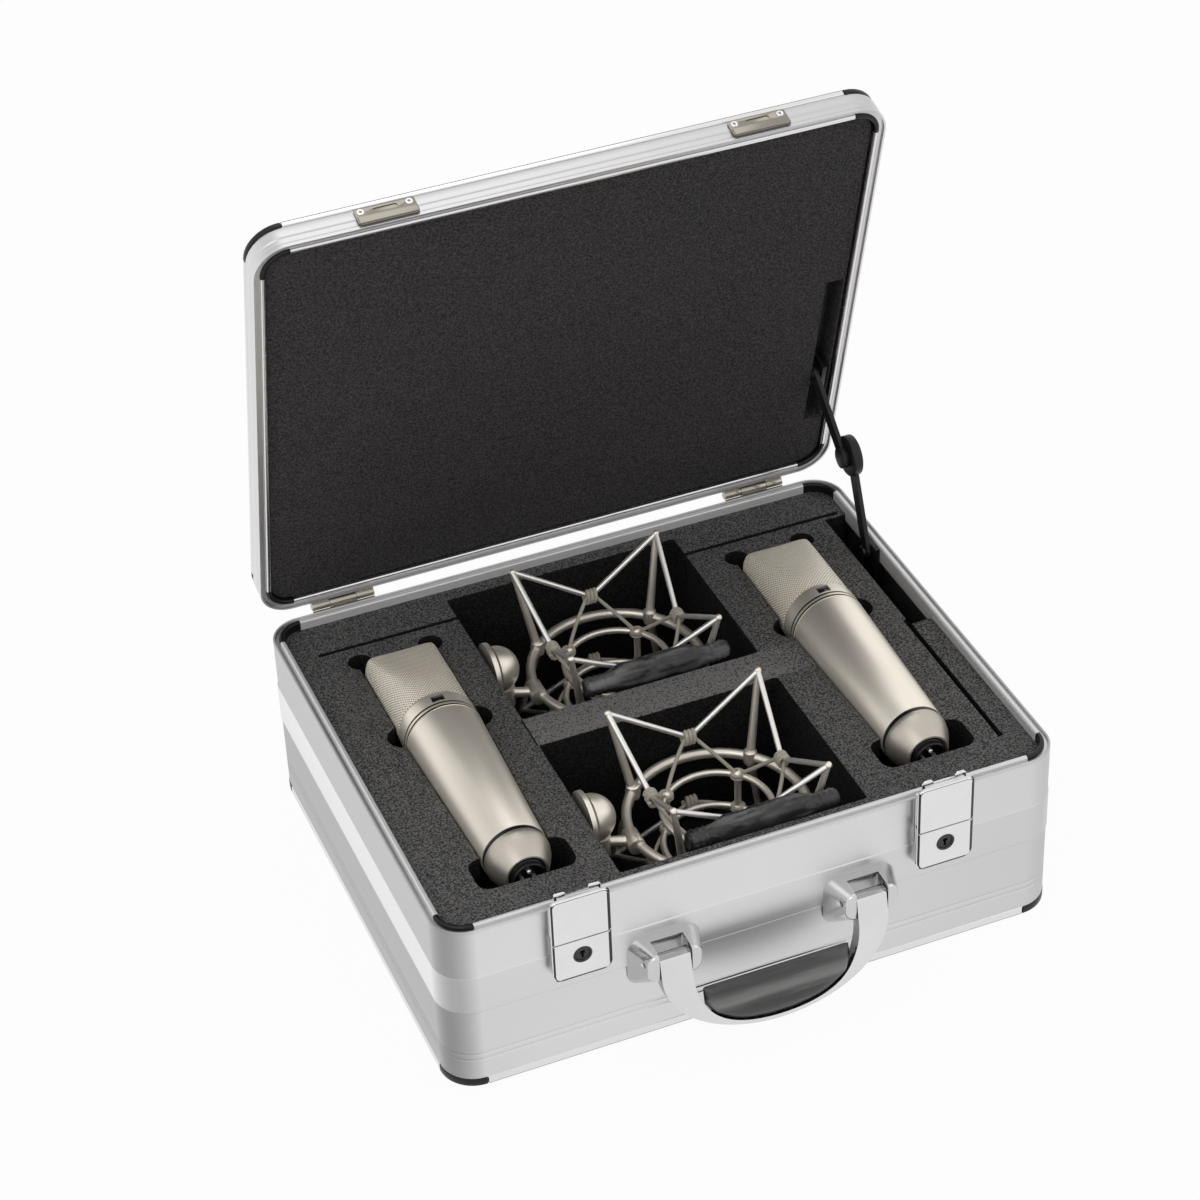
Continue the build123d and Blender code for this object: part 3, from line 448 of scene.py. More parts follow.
FOAM_TOP = 0.1172
mic_mesh = weave_finish("microphone_mesh", (0.86, 0.775, 0.64), 2.3)
elastic = braid_finish("elastic_cord", (0.50, 0.46, 0.39))
window_glass = glass_finish("window_glass", (0.012, 0.012, 0.014))
foam_top = foam_finish("foam_cut", (0.017, 0.0166, 0.0166), (0.22, 0.215, 0.212), 1.25, FOAM_TOP - 0.0003)
foam_lid = foam_finish("foam_lid", (0.021, 0.0195, 0.020), (0.085, 0.080, 0.081), 1.3)
black_plastic = moulded_finish("black_plastic", (0.006, 0.006, 0.0062), 0.30)
stay_plastic = moulded_finish("stay_plastic", (0.010, 0.010, 0.0105), 0.34, 0.7)
lock_plastic = moulded_finish("lock_black", (0.010, 0.010, 0.0105), 0.28, 0.6, 0.01, 0.5)
# The grip's second colour is the grey of its painted highlights.
grip_plastic = grip_finish("grip_moulding", (0.018, 0.0175, 0.0175), (0.20, 0.20, 0.196), (0.013, 0.046))
# The sleeve's 0.16 grey is the grey of its painted highlight streaks.
sleeve_leather = moulded_finish("sleeve_leather", (0.016, 0.016, 0.0165), 0.36, 1.6, 0.12, 0.5, 0.16)
print("soft and moulded finishes made")

# %% [markdown]
# ## Giving the frame its finishes
# Every node of the engineering model takes the finish that its material slot names. Pieces that we
# model ourselves will replace some of these nodes further down.

# %% Finish of each slot
slot_finish = {
    "shell_aluminium": shell, "rail_aluminium": rail, "black_plastic": black_plastic,
    "foam": foam_top, "nickel": nickel, "lock_black": lock_plastic, "handle_metal": casting,
    "grip": grip_plastic, "mic_mesh": mic_mesh, "mic_satin_nickel": mic_satin,
    "mount_metal": mount_satin, "elastic": elastic, "sleeve": sleeve_leather,
}
node_finish = {
    "lid_foam": foam_lid, "stay_lower_link": stay_plastic, "stay_upper_link": stay_plastic,
    "stay_hub": stay_plastic, "latch_flap_left": latch_face, "latch_flap_right": latch_face,
    "latch_lower_plates": latch_face, "latch_housings": rail, "lid_wall": lid_shell,
    "lid_panel": lid_shell, "latch_claw_left": rail, "latch_claw_right": rail,
    "handle_brackets": bracket_chrome, "catch_plates": striker_nickel, "base_rim_rails": rim_bead,
}


def finish_for(node):
    return node_finish.get(node, slot_finish[slot_of_node[node]])


for node, obj in frame["nodes"].items():
    obj.data.materials.clear()
    obj.data.materials.append(finish_for(node))
print("finished nodes:", len(frame["nodes"]))


# %% [markdown]
# ## Handing a piece to the frame
# Whatever we model is a mesh object at the origin. One helper gives it its finish, lets it ride on the
# body of the node that it stands for, and hides that node. Smooth shading stops at sharp corners.

# %% Helper: a finished piece
SMOOTH_ANGLE = radians(32)


def add_piece(name, bm, finish, nodes, body=None):
    """Make a bmesh the visible form of some nodes, or an extra piece on a body."""
    bm.normal_update()
    return adopt(name, as_mesh(bm, name), finish, nodes, body)


def adopt(name, mesh, finish, nodes, body=None):
    """The same for a finished mesh. Several finishes are a list, in the order of the faces' numbers."""
    for place, material in enumerate(finish if isinstance(finish, list) else [finish]):
        if place == len(mesh.materials):
            mesh.materials.append(None)
        mesh.materials[place] = material
    mesh.shade_smooth()
    mesh.set_sharp_from_angle(angle=SMOOTH_ANGLE)
    obj = placed(name, mesh)
    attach(obj, body or body_of_node[nodes[0]])
    if nodes:
        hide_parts(*nodes)
    return obj


def as_mesh(bm, name):
    """A bmesh turned into a mesh."""
    mesh = bpy.data.meshes.new(name)
    bm.to_mesh(mesh)
    bm.free()
    return mesh


def evaluated_mesh(obj):
    """A plain mesh of a working object with its modifiers applied. The object is removed."""
    graph = bpy.context.evaluated_depsgraph_get()
    graph.update()
    mesh = bpy.data.meshes.new_from_object(obj.evaluated_get(graph))
    bpy.data.objects.remove(obj)
    return mesh


# %% [markdown]
# ## Softened edges
# No real edge is perfectly sharp: a sheet is rolled over, a casting is rounded, and those small radii
# catch the light and draw the form. The solid model has sharp edges, so for each hard piece we take a
# copy of its mesh, join its loose triangles, merge the flat ones, and bevel what is still sharp.

# %% Helper: a copy of a node with rounded edges
FLAT = radians(1.0)
SHARP = radians(30)


def merged_copy(node):
    """A node's mesh with its doubles merged and its flat faces joined."""
    bm = bmesh.new()
    bm.from_mesh(frame["nodes"][node].data)
    bmesh.ops.remove_doubles(bm, verts=bm.verts, dist=1e-6)
    bmesh.ops.dissolve_limit(bm, angle_limit=FLAT, verts=bm.verts, edges=bm.edges)
    return bm


def bevelled(bm, width_mm, segments=2):
    """Bevel every sharp edge of a bmesh, and return it as a new bmesh."""
    obj = placed("rough", as_mesh(bm, "rough"))
    bevel = obj.modifiers.new("edges", "BEVEL")
    bevel.width = width_mm * MM
    bevel.segments = segments
    bevel.limit_method = "ANGLE"
    bevel.angle_limit = SHARP
    bevel.use_clamp_overlap = True
    result = bmesh.new()
    result.from_mesh(evaluated_mesh(obj))
    return result


def soften(node, width_mm, segments=2, second=None, is_second=None):
    """Replace a node by the same shape with rounded edges. Some faces may take a second finish."""
    bm = bevelled(merged_copy(node), width_mm, segments)
    finishes = [finish_for(node)]
    if second is not None:
        bm.normal_update()
        finishes.append(second)
        for face in bm.faces:
            face.material_index = int(is_second(face))
    return add_piece(f"{node}_soft", bm, finishes, [node])


edge_radius_mm = {
    "base_edge_corners": 0.5, "lid_edge_corners": 0.5, "base_rim_corners": 0.3, "lid_rim_corners": 0.3,
    "latch_claw_left": 0.25, "latch_claw_right": 0.25, "hinge_leaves_base": 0.25,
    "hinge_leaves_lid": 0.25, "stay_lower_link": 0.4,
    "stay_upper_link": 0.4, "stay_hub": 0.5, "stay_base_bracket": 0.5, "stay_lid_bracket": 0.5,
}
for node, width_mm in edge_radius_mm.items():
    soften(node, width_mm)

LID_OPEN = radians(75)
LID_UP = Vector((0, sin(LID_OPEN), cos(LID_OPEN)))
LID_BACK = Vector((0, cos(LID_OPEN), -sin(LID_OPEN)))


def faces_sideways(face):
    """True on the flanks and the underside of a casting that stands on the front wall."""
    return face.normal.y > -0.25 and face.normal.z < 0.5


def faces_floor(face):
    """True on the underside, and in the bend that leads to it, which take painted shadow."""
    return face.normal.z < -0.2


def faces_lid_back(face):
    """True in the bend where the lid's outer rail turns over towards the lid's back, which takes painted
    shade.
    """
    return 0.2 < face.normal.dot(LID_UP) < 0.98


def faces_striker_rim(face):
    """True round the rim of a striker plate, and inside its slot, which take painted shade."""
    return face.normal.dot(LID_BACK) > -0.4


def faces_off_arch(face):
    """True on the arch's edges, all but its front and back."""
    return abs(face.normal.y) < 0.75


# Painted shade: the brackets' flanks and underside, and the arch's edges, take a darker chrome.
soften("handle_brackets", 1.0, 2, painted_shade_chrome, faces_sideways)
soften("handle_strap", 0.9, 2, painted_shade_chrome, faces_off_arch)
# Painted shadow along the base's foot, and painted shade in the bend of the lid's rail.
soften("base_edge_rails", 0.8, 3, painted_shade_edge, faces_floor)
soften("lid_edge_rails", 0.8, 3, painted_shade_edge, faces_lid_back)
# Painted shade on the strikers' rims and in their slots.
soften("catch_plates", 0.4, 2, painted_shade_nickel, faces_striker_rim)
print("softened:", len(edge_radius_mm) + 5)

# %% [markdown]
# ## Skins, turned parts and tubes
# Three ways of making a surface cover most of what follows. A loft skins a row of rings, and a turned
# part is a loft of circles. A tube follows a path, and that is a job for Geometry Nodes: the tree is
# built once, with its radius, its number of sides and its finish as named inputs.

# %% Helper: lofts and turned parts
def mm(*values):
    """A point in metres from millimetres."""
    return Vector(values) * MM


def loft(bm, rings, material=0):
    """Skin rings of points into a closed form. A ring of one point is a pole."""
    rows = [[bm.verts.new(point) for point in ring] for ring in rings]
    made = []
    for low, high in zip(rows, rows[1:]):
        count = max(len(low), len(high))
        for i in range(count):
            j = (i + 1) % count
            corners = [low[i % len(low)], low[j % len(low)], high[j % len(high)], high[i % len(high)]]
            made.append(bm.faces.new(list(dict.fromkeys(corners))))
    made += [bm.faces.new(row) for row in (rows[0], rows[-1]) if len(row) > 2]
    for face in made:
        face.material_index = material
    bmesh.ops.recalc_face_normals(bm, faces=made)
    return made


def circle(centre, radius, axis, segments):
    """Points round a centre, in the plane across an axis. A radius of 0 gives one point."""
    if radius < 1e-9:
        return [centre]
    side = axis.orthogonal().normalized()
    other = axis.cross(side).normalized()
    angles = [tau * k / segments for k in range(segments)]
    return [centre + side * (radius * cos(a)) + other * (radius * sin(a)) for a in angles]


def turned(bm, profile_mm, origin_mm, axis, segments=72, material=0):
    """Turn (radius, place along the axis) points about an axis."""
    rings = [circle(mm(*origin_mm) + axis * (place * MM), radius * MM, axis, segments)
             for radius, place in profile_mm]
    return loft(bm, rings, material)


def ball(bm, centre_mm, radius_mm, material=0, segments=16):
    half = segments // 2
    arc = [(radius_mm * sin(pi * k / half), -radius_mm * cos(pi * k / half)) for k in range(half + 1)]
    return turned(bm, arc, centre_mm, Z_AXIS, segments, material)


def block(low, high):
    """A box as a bmesh, from its low and high corners in millimetres."""
    bm = bmesh.new()
    corners = ((low[0], low[1]), (high[0], low[1]), (high[0], high[1]), (low[0], high[1]))
    loft(bm, [[mm(x, y, z) for x, y in corners] for z in (low[2], high[2])])
    return bm


def rod(radius_mm, half_mm, origin_mm, axis, segments):
    """A plain bar as a bmesh, half_mm to each side of its origin, for cutting round holes."""
    bm = bmesh.new()
    profile = [(0, -half_mm), (radius_mm, -half_mm), (radius_mm, half_mm), (0, half_mm)]
    turned(bm, profile, origin_mm, axis, segments)
    return bm


def join(bm, other):
    """Add one bmesh to another."""
    mesh = as_mesh(other, "joined")
    bm.from_mesh(mesh)
    bpy.data.meshes.remove(mesh)


def carve(bm, cutters):
    """Cut closed forms, each a bmesh, out of a bmesh."""
    obj = placed("carved", as_mesh(bm, "carved"))
    helpers = [placed("cutter", as_mesh(cutter, "cutter")) for cutter in cutters]
    for helper in helpers:
        cut = obj.modifiers.new("cut", "BOOLEAN")
        cut.object = helper
        cut.operation = "DIFFERENCE"
        cut.solver = "EXACT"
    result = bmesh.new()
    result.from_mesh(evaluated_mesh(obj))
    for helper in helpers:
        bpy.data.objects.remove(helper)
    return result


# %% [markdown]
# A Geometry Nodes tree is a group with inputs and one output.

# %% Helper: Geometry Nodes trees
def new_tree(name, inputs):
    """A geometry tree with named inputs and one output."""
    tree = bpy.data.node_groups.new(name, "GeometryNodeTree")
    for title, kind in inputs:
        tree.interface.new_socket(title, in_out="INPUT", socket_type=kind)
    tree.interface.new_socket("Result", in_out="OUTPUT", socket_type="NodeSocketGeometry")
    return tree, tree.nodes.new("NodeGroupInput"), tree.nodes.new("NodeGroupOutput")


def wire(tree, *pairs):
    """Link each pair of an output and an input."""
    for source, target in pairs:
        tree.links.new(source, target)


def run_tree(tree, mesh, values):
    """Evaluate a tree on a mesh with the named values, and return the result as a plain mesh."""
    obj = placed("worked", mesh)
    modifier = obj.modifiers.new("tree", "NODES")
    modifier.node_group = tree
    names = {item.name: item.identifier for item in tree.interface.items_tree if item.in_out == "INPUT"}
    for title, value in values.items():
        modifier[names[title]] = value
    return evaluated_mesh(obj)


def finish_end(tree, group_in, last, group_out):
    """Realize Instances and Set Material, which close every tree here."""
    realize = tree.nodes.new("GeometryNodeRealizeInstances")
    paint = tree.nodes.new("GeometryNodeSetMaterial")
    wire(tree, (last, realize.inputs[0]), (realize.outputs[0], paint.inputs["Geometry"]),
         (group_in.outputs["Finish"], paint.inputs["Material"]), (paint.outputs[0], group_out.inputs[0]))


def make_tube_tree():
    """Edges become curves, and a circle is swept along them."""
    tree, group_in, group_out = new_tree("tube along edges", (
        ("Path", "NodeSocketGeometry"), ("Radius", "NodeSocketFloat"),
        ("Sides", "NodeSocketInt"), ("Finish", "NodeSocketMaterial")))
    curve = tree.nodes.new("GeometryNodeMeshToCurve")
    ring = tree.nodes.new("GeometryNodeCurvePrimitiveCircle")
    sweep = tree.nodes.new("GeometryNodeCurveToMesh")
    sweep.inputs["Fill Caps"].default_value = True
    wire(tree, (group_in.outputs["Path"], curve.inputs[0]),
         (group_in.outputs["Sides"], ring.inputs["Resolution"]),
         (group_in.outputs["Radius"], ring.inputs["Radius"]),
         (curve.outputs[0], sweep.inputs["Curve"]), (ring.outputs[0], sweep.inputs["Profile Curve"]))
    finish_end(tree, group_in, sweep.outputs[0], group_out)
    return tree


def make_stud_tree():
    """One stud at every point of a mesh, turned to the point's normal."""
    tree, group_in, group_out = new_tree("studs on points", (
        ("Points", "NodeSocketGeometry"), ("Stud", "NodeSocketObject"), ("Finish", "NodeSocketMaterial")))
    info = tree.nodes.new("GeometryNodeObjectInfo")
    info.inputs["As Instance"].default_value = True
    place = tree.nodes.new("GeometryNodeInstanceOnPoints")
    normal = tree.nodes.new("GeometryNodeInputNamedAttribute")
    normal.data_type = "FLOAT_VECTOR"
    normal.inputs["Name"].default_value = "outward"
    align = tree.nodes.new("FunctionNodeAlignRotationToVector")
    align.axis = "Z"
    wire(tree, (group_in.outputs["Stud"], info.inputs["Object"]),
         (group_in.outputs["Points"], place.inputs["Points"]),
         (info.outputs["Geometry"], place.inputs["Instance"]),
         (normal.outputs[0], align.inputs["Vector"]), (align.outputs[0], place.inputs["Rotation"]))
    finish_end(tree, group_in, place.outputs[0], group_out)
    return tree


tube_tree = make_tube_tree()
stud_tree = make_stud_tree()


def add_tubes(bm, paths, radius_mm, finish, sides=12, closed=False, material=0):
    """Sweep a round section along each path, a list of points in metres, into a bmesh."""
    mesh = bpy.data.meshes.new("paths")
    points, edges = [], []
    for path in paths:
        first = len(points)
        points += [tuple(point) for point in path]
        edges += [(first + k, first + k + 1) for k in range(len(path) - 1)]
        if closed:
            edges.append((first + len(path) - 1, first))
    mesh.from_pydata(points, edges, [])
    tubes = run_tree(tube_tree, mesh, {"Radius": radius_mm * MM, "Sides": sides, "Finish": finish})
    old = len(bm.faces)
    bm.from_mesh(tubes)
    bm.faces.ensure_lookup_table()
    added = bm.faces[old:]
    for face in added:
        face.material_index = material
    bmesh.ops.recalc_face_normals(bm, faces=added)


def set_studs(name, stud_bm, spots, finish, body, nodes=()):
    """Copies of one small part at spots, a list of (point, outward direction), on one body."""
    stud = placed(f"{name}_stud", as_mesh(stud_bm, f"{name}_stud"))
    mesh = bpy.data.meshes.new(f"{name}_spots")
    mesh.from_pydata([tuple(point) for point, outward in spots], [], [])
    directions = mesh.attributes.new("outward", "FLOAT_VECTOR", "POINT")
    for row, (point, outward) in zip(directions.data, spots):
        row.vector = outward
    result = run_tree(stud_tree, mesh, {"Stud": stud, "Finish": finish})
    bpy.data.objects.remove(stud)
    return adopt(name, result, finish, list(nodes), body)


print("trees:", tube_tree.name, "and", stud_tree.name)

# %% [markdown]
# ## Walls
# The base and the lid are rolled profiles that run round a rounded rectangle. The solid model gives
# the profile square steps. Here each step is an S-curve, as rolls leave it, and the closed section is
# carried round the plan ring by ring. The lid's wall is made closed and then turned open.

# %% Walls
CASE_HALF = (200.0, 163.0)
CORNER_MM = 22.0
CORNER_STEPS = 16
STEP_RUN = 0.55
BASE_STEPS = ((7.0, 0.5), (21.0, 1.0), (22.6, 0.5), (25.4, 1.0), (27.0, 0.5), (60.0, 0.0), (87.0, 0.5))
LID_STEPS = ((124.0, 0.0), (126.7, 0.5), (131.5, 0.0), (139.0, 1.0))


def plan_ring(inset, z, place):
    """The case's outline, drawn in by inset, at height z."""
    ring = []
    for sx, sy, start in ((1, 1, 0), (-1, 1, 90), (-1, -1, 180), (1, -1, 270)):
        for k in range(CORNER_STEPS + 1):
            angle = radians(start + 90 * k / CORNER_STEPS)
            reach = CORNER_MM - inset
            x = sx * (CASE_HALF[0] - CORNER_MM) + reach * cos(angle)
            y = sy * (CASE_HALF[1] - CORNER_MM) + reach * sin(angle)
            ring.append(place(x, y, z))
    return ring


def rolled_profile(steps, z_top):
    """Outer face of a wall, from its foot to z_top: (inset, z), with an S-curve at every step."""
    face = [(steps[0][1], steps[0][0])]
    for (_, old), (z, new) in zip(steps, steps[1:]):
        for k in range(7):
            share = k / 6
            face.append((old + (new - old) * smooth(share), z + STEP_RUN * (2 * share - 1)))
    return face + [(steps[-1][1], z_top)]


def add_wall(node, section, place):
    """Carry a closed section of (inset, z) points round the plan."""
    bm = bmesh.new()
    rows = [[bm.verts.new(point) for point in plan_ring(inset, z, place)] for inset, z in section]
    for low, high in zip(rows, rows[1:] + rows[:1]):
        for i in range(len(low)):
            j = (i + 1) % len(low)
            bm.faces.new((low[i], low[j], high[j], high[i]))
    bmesh.ops.recalc_face_normals(bm, faces=bm.faces)
    return add_piece(f"{node}_rolled", bm, finish_for(node), [node])


def on_lid(x_mm, y_mm, z_mm):
    """A point of the lid, given in millimetres where it lies when closed, with the lid open."""
    dy, dz = y_mm * MM - HINGE[0], z_mm * MM - HINGE[1]
    return Vector((x_mm * MM, HINGE[0] + dy * cos(LID_OPEN) + dz * sin(LID_OPEN),
                   HINGE[1] - dy * sin(LID_OPEN) + dz * cos(LID_OPEN)))


HINGE = (0.1668, 0.124)
BASE_LIP = ((0.7, 122.4), (0.9, 122.6), (1.7, 122.6), (1.9, 122.4), (2.1, 121.0), (4.2, 121.0),
            (4.2, 6.0), (0.7, 6.0))
LID_LIP = ((1.2, 140.2), (4.2, 140.2), (4.2, 125.6), (1.6, 125.6), (1.4, 124.0), (0.2, 124.0))
add_wall("base_wall", rolled_profile(BASE_STEPS, 122.2) + list(BASE_LIP), mm)
add_wall("lid_wall", rolled_profile(LID_STEPS, 140.2)[1:] + list(LID_LIP), on_lid)
print("walls rolled")

# %% [markdown]
# ## Latches and locks
# A latch is two plates, a lever above and a cover below, with eased edges. The rim of a plate is painted
# dark as painted shade for what its polished edge mirrors, and that dark line is what draws the latch.
# Only the seam between the two plates stays bright. The lever turns on a pin that runs in a groove of
# its back, and each lock is a turned barrel with a raised bezel and a keyhole.

# %% Latches and locks
LATCH_X = {"left": -117.0, "right": 117.0}
LATCH_HALF = 18.0
LATCH_FRONT, PLATE_T, WALL_FRONT = -171.0, 1.6, -163.0
FLAP_Z, COVER_Z, SEAM_Z = (100.7, 133.0), (71.7, 99.9), 100.3
AXIS_Y, AXIS_Z = LATCH_FRONT + PLATE_T - 0.1, 102.0
PLATE_EASE, SQUARE_R, FLANGE_MM, RIM_MM = 1.2, 0.05, 0.7, 0.4
FLAP_R, COVER_R, BORE_R = 4.0, 5.0, 1.25
HOUSING_HALF, RETURN_Z = 16.8, (105.3, 128.5)
LOCK_Z_MM, LOCK_R_MM = 88.5, 6.0
LOCK_PROFILE = ((0, -6.5), (5.9, -6.5), (5.9, 0.05), (5.6, 0.45), (4.9, 0.5), (4.5, 0.1), (4.3, -0.5),
                (0, -0.7))


def plate_outline(x, z_span, low_r, high_r, inset):
    """Rounded rectangle in the front wall's plane. A square edge is one at the seam: it is eased less."""
    points = []
    for quarter, (sx, sz) in enumerate(((1, 1), (-1, 1), (-1, -1), (1, -1))):
        radius, edge = (high_r, z_span[1]) if sz > 0 else (low_r, z_span[0])
        square = radius <= SQUARE_R
        reach = SQUARE_R if square else max(radius - inset, SQUARE_R)
        pull = inset + SQUARE_R if square else max(radius, inset + SQUARE_R)
        drop = inset * 0.25 + SQUARE_R if square else pull
        for k in range(9):
            angle = radians(90 * quarter + 90 * k / 8)
            points.append((x + sx * (LATCH_HALF - pull) + reach * cos(angle),
                           edge - sz * drop + reach * sin(angle)))
    return points


def eased_plate(bm, x, z_span, low_r, high_r):
    """A plate with an eased front. Its rim takes the second finish, painted shade, except along the seam.
    """
    flange = LATCH_FRONT + PLATE_T
    rings = [(-FLANGE_MM, flange), (-FLANGE_MM, flange - 0.3), (0.0, flange - 0.35)]
    rings += [(PLATE_EASE * (1 - cos(a)), LATCH_FRONT + PLATE_EASE * (1 - sin(a)))
              for a in (radians(15 * k) for k in range(7))]
    rings.append((PLATE_EASE + RIM_MM, LATCH_FRONT))
    outlines = [[mm(px, y, pz) for px, pz in plate_outline(x, z_span, low_r, high_r, inset)]
                for inset, y in rings]
    for face in loft(bm, outlines):
        middle = face.calc_center_median() / MM
        far_from_seam = abs(middle.z - SEAM_Z) > 1.6
        # At the right side and the foot the painted shade is wider, as a painted shadow.
        shaded = middle.x - x > LATCH_HALF - 1.5 or abs(middle.z - COVER_Z[0]) < 1.5  # right, foot
        rim = face.normal.y > (-1.01 if shaded else -0.95)
        face.material_index = int(rim and face.normal.z < 0.5 and far_from_seam)


def add_lever(side, x):
    """The lever's plate, with a return flange down each side and a groove that runs on the pin."""
    lever = bmesh.new()
    eased_plate(lever, x, FLAP_Z, SQUARE_R, FLAP_R)
    lever = carve(lever, [rod(BORE_R, 14, (x, AXIS_Y, AXIS_Z), X_AXIS, 32)])
    back = LATCH_FRONT + PLATE_T
    for sx in (-1, 1):
        inner, outer = sorted((x + sx * HOUSING_HALF, x + sx * LATCH_HALF))
        join(lever, block((inner, back, RETURN_Z[0]), (outer, -165.6, RETURN_Z[1])))
    join(lever, block((x - 13.0, back, 131.6), (x + 13.0, -166.0, 132.9)))
    add_piece(f"latch_lever_{side}", lever, [latch_face, painted_shade_edge], [f"latch_flap_{side}"])


def add_lock(side, x):
    """Barrel with a raised bezel and a keyhole."""
    y, z = LATCH_FRONT, LOCK_Z_MM
    barrel = bmesh.new()
    turned(barrel, LOCK_PROFILE, (x, y, z), -Y_AXIS, 64)
    slot = block((x - 0.7, y - 1, z - 3.0), (x + 0.7, y + 3, z + 1.2))
    eye = block((x - 1.5, y - 1, z + 0.2), (x + 1.5, y + 3, z + 2.4))
    add_piece(f"lock_barrel_{side}", carve(barrel, [slot, eye]), lock_plastic, [f"lock_cylinder_{side}"])


def add_covers():
    """Both covers, with a round hole for the lock, and the boxes that they close."""
    covers, housings, holes = bmesh.new(), bmesh.new(), []
    for x in LATCH_X.values():
        eased_plate(covers, x, COVER_Z, COVER_R, SQUARE_R)
        holes.append(rod(LOCK_R_MM, 3, (x, LATCH_FRONT, LOCK_Z_MM), -Y_AXIS, 64))
        low, high = COVER_Z[0] + 1.0, COVER_Z[1]
        back, inner = LATCH_FRONT + PLATE_T, WALL_FRONT - 1.6
        half, thick = HOUSING_HALF, 1.4
        for box in (block((x - half, inner, low), (x + half, WALL_FRONT, 121.6)),
                    block((x - half, back, low), (x - half + thick, inner, high)),
                    block((x + half - thick, back, low), (x + half, inner, high)),
                    block((x - half, back, low), (x + half, inner, low + 1.6))):
            join(housings, box)
    add_piece("latch_covers", carve(covers, holes), [latch_face, painted_shade_edge], ["latch_lower_plates"])
    add_piece("latch_boxes", bevelled(housings, 0.25), rail, ["latch_housings"])


for side, x in LATCH_X.items():
    add_lever(side, x)
    add_lock(side, x)
add_covers()
print("latches dressed")

# %% [markdown]
# ## Microphones
# The head is a basket of woven wire: round where it meets the collar, and pressed to a blunt wedge at
# its far end. Its outline at each station is a circle that two planes cut, and a high power blends the
# two so that the crease stays soft. The collar, tube and cone are turned parts with fine grooves.

# %% Microphone parts
MIC_X_MM = 130.3
MIC_Z_MM = 114.5
HEAD_R = 24.8
HEAD_FROM, HEAD_SLOPE, HEAD_TO = 33.0, 45.0, 99.0
HEAD_ROUND = 4.5
COLLAR_GROOVES = (20.6, 17.4)
TUBE_PROFILE = ((0, 16.9), (24.2, 16.9), (24.9, 16.5), (25.0, 15.6), (20.75, -99.0), (20.4, -99.8),
                (19.6, -100.0), (0, -100.0))
SEAL_PROFILE = ((0, -100.0), (20.1, -100.0), (20.1, -102.4), (0, -102.4))
CONE_PROFILE = ((19.5, -102.3), (20.2, -102.7), (20.5, -103.8), (20.3, -106.5), (19.3, -110.2),
                (17.2, -114.8), (14.4, -120.2), (13.5, -121.5), (12.6, -121.7), (11.8, -121.0),
                (11.2, -117.0), (0, -117.0))
PLUG_PROFILE = ((0, -117.4), (11.0, -117.4), (11.0, -121.3), (10.4, -121.8), (10.4, -124.6),
                (10.0, -125.1), (9.2, -125.1), (9.0, -124.6), (9.0, -120.5), (0, -120.5))
CONTACT_PROFILE = ((0, -120.4), (1.4, -120.4), (1.4, -124.0), (0.9, -124.7), (0, -124.8))
CONTACT_CIRCLE_R = 4.3


def head_half_thickness(y):
    """Half the wedge's thickness at a station, before its far edge is rounded."""
    share = max(0.0, (y - HEAD_SLOPE) / (HEAD_TO - HEAD_SLOPE))
    return 25.2 + (12.0 - 25.2) * share


def head_ring(x, y, inset, steps=96):
    """One closed outline of the head, from below and round again."""
    points = []
    half = head_half_thickness(y)
    for k in range(steps):
        angle = -pi / 2 + tau * k / steps
        flat = half / max(abs(sin(angle)), 1e-6)
        reach = (HEAD_R ** -16 + flat ** -16) ** (-1 / 16) - inset
        points.append(mm(x + reach * cos(angle), y, MIC_Z_MM + reach * sin(angle)))
    return points


def head_stations():
    """Places along the axis, with how far the outline is drawn in at each."""
    stations = [(HEAD_FROM + 3.0 * k, 0.0) for k in range(21)]
    start = HEAD_TO - HEAD_ROUND
    stations += [(start + HEAD_ROUND * sin(a), HEAD_ROUND * (1 - cos(a)))
                 for a in (radians(15 * k) for k in range(1, 7))]
    return stations


def add_mic_head(side, x):
    """The basket, with a UV map in metres: round it from below, and along it."""
    bm = bmesh.new()
    rings = [head_ring(x, y, inset) for y, inset in head_stations()]
    loft(bm, rings)
    weave = bm.loops.layers.uv.new("weave")
    lengths = {}
    for ring in rings:
        steps = [(ring[(k + 1) % len(ring)] - ring[k]).length for k in range(len(ring))]
        for k, point in enumerate(ring):
            lengths[tuple(round(value, 6) for value in point)] = sum(steps[:k]) - sum(steps) / 2
    for face in bm.faces:
        rows = [lengths[tuple(round(value, 6) for value in loop.vert.co)] for loop in face.loops]
        across_seam = len(rows) == 4 and max(rows) - min(rows) > 0.05
        for loop, value in zip(face.loops, rows):
            turn = -2 * min(rows) if across_seam and value < 0 else 0.0
            loop[weave].uv = (value + turn, loop.vert.co.y)
    add_piece(f"mic_{side}_basket", bm, mic_mesh, [f"mic_{side}_head"])


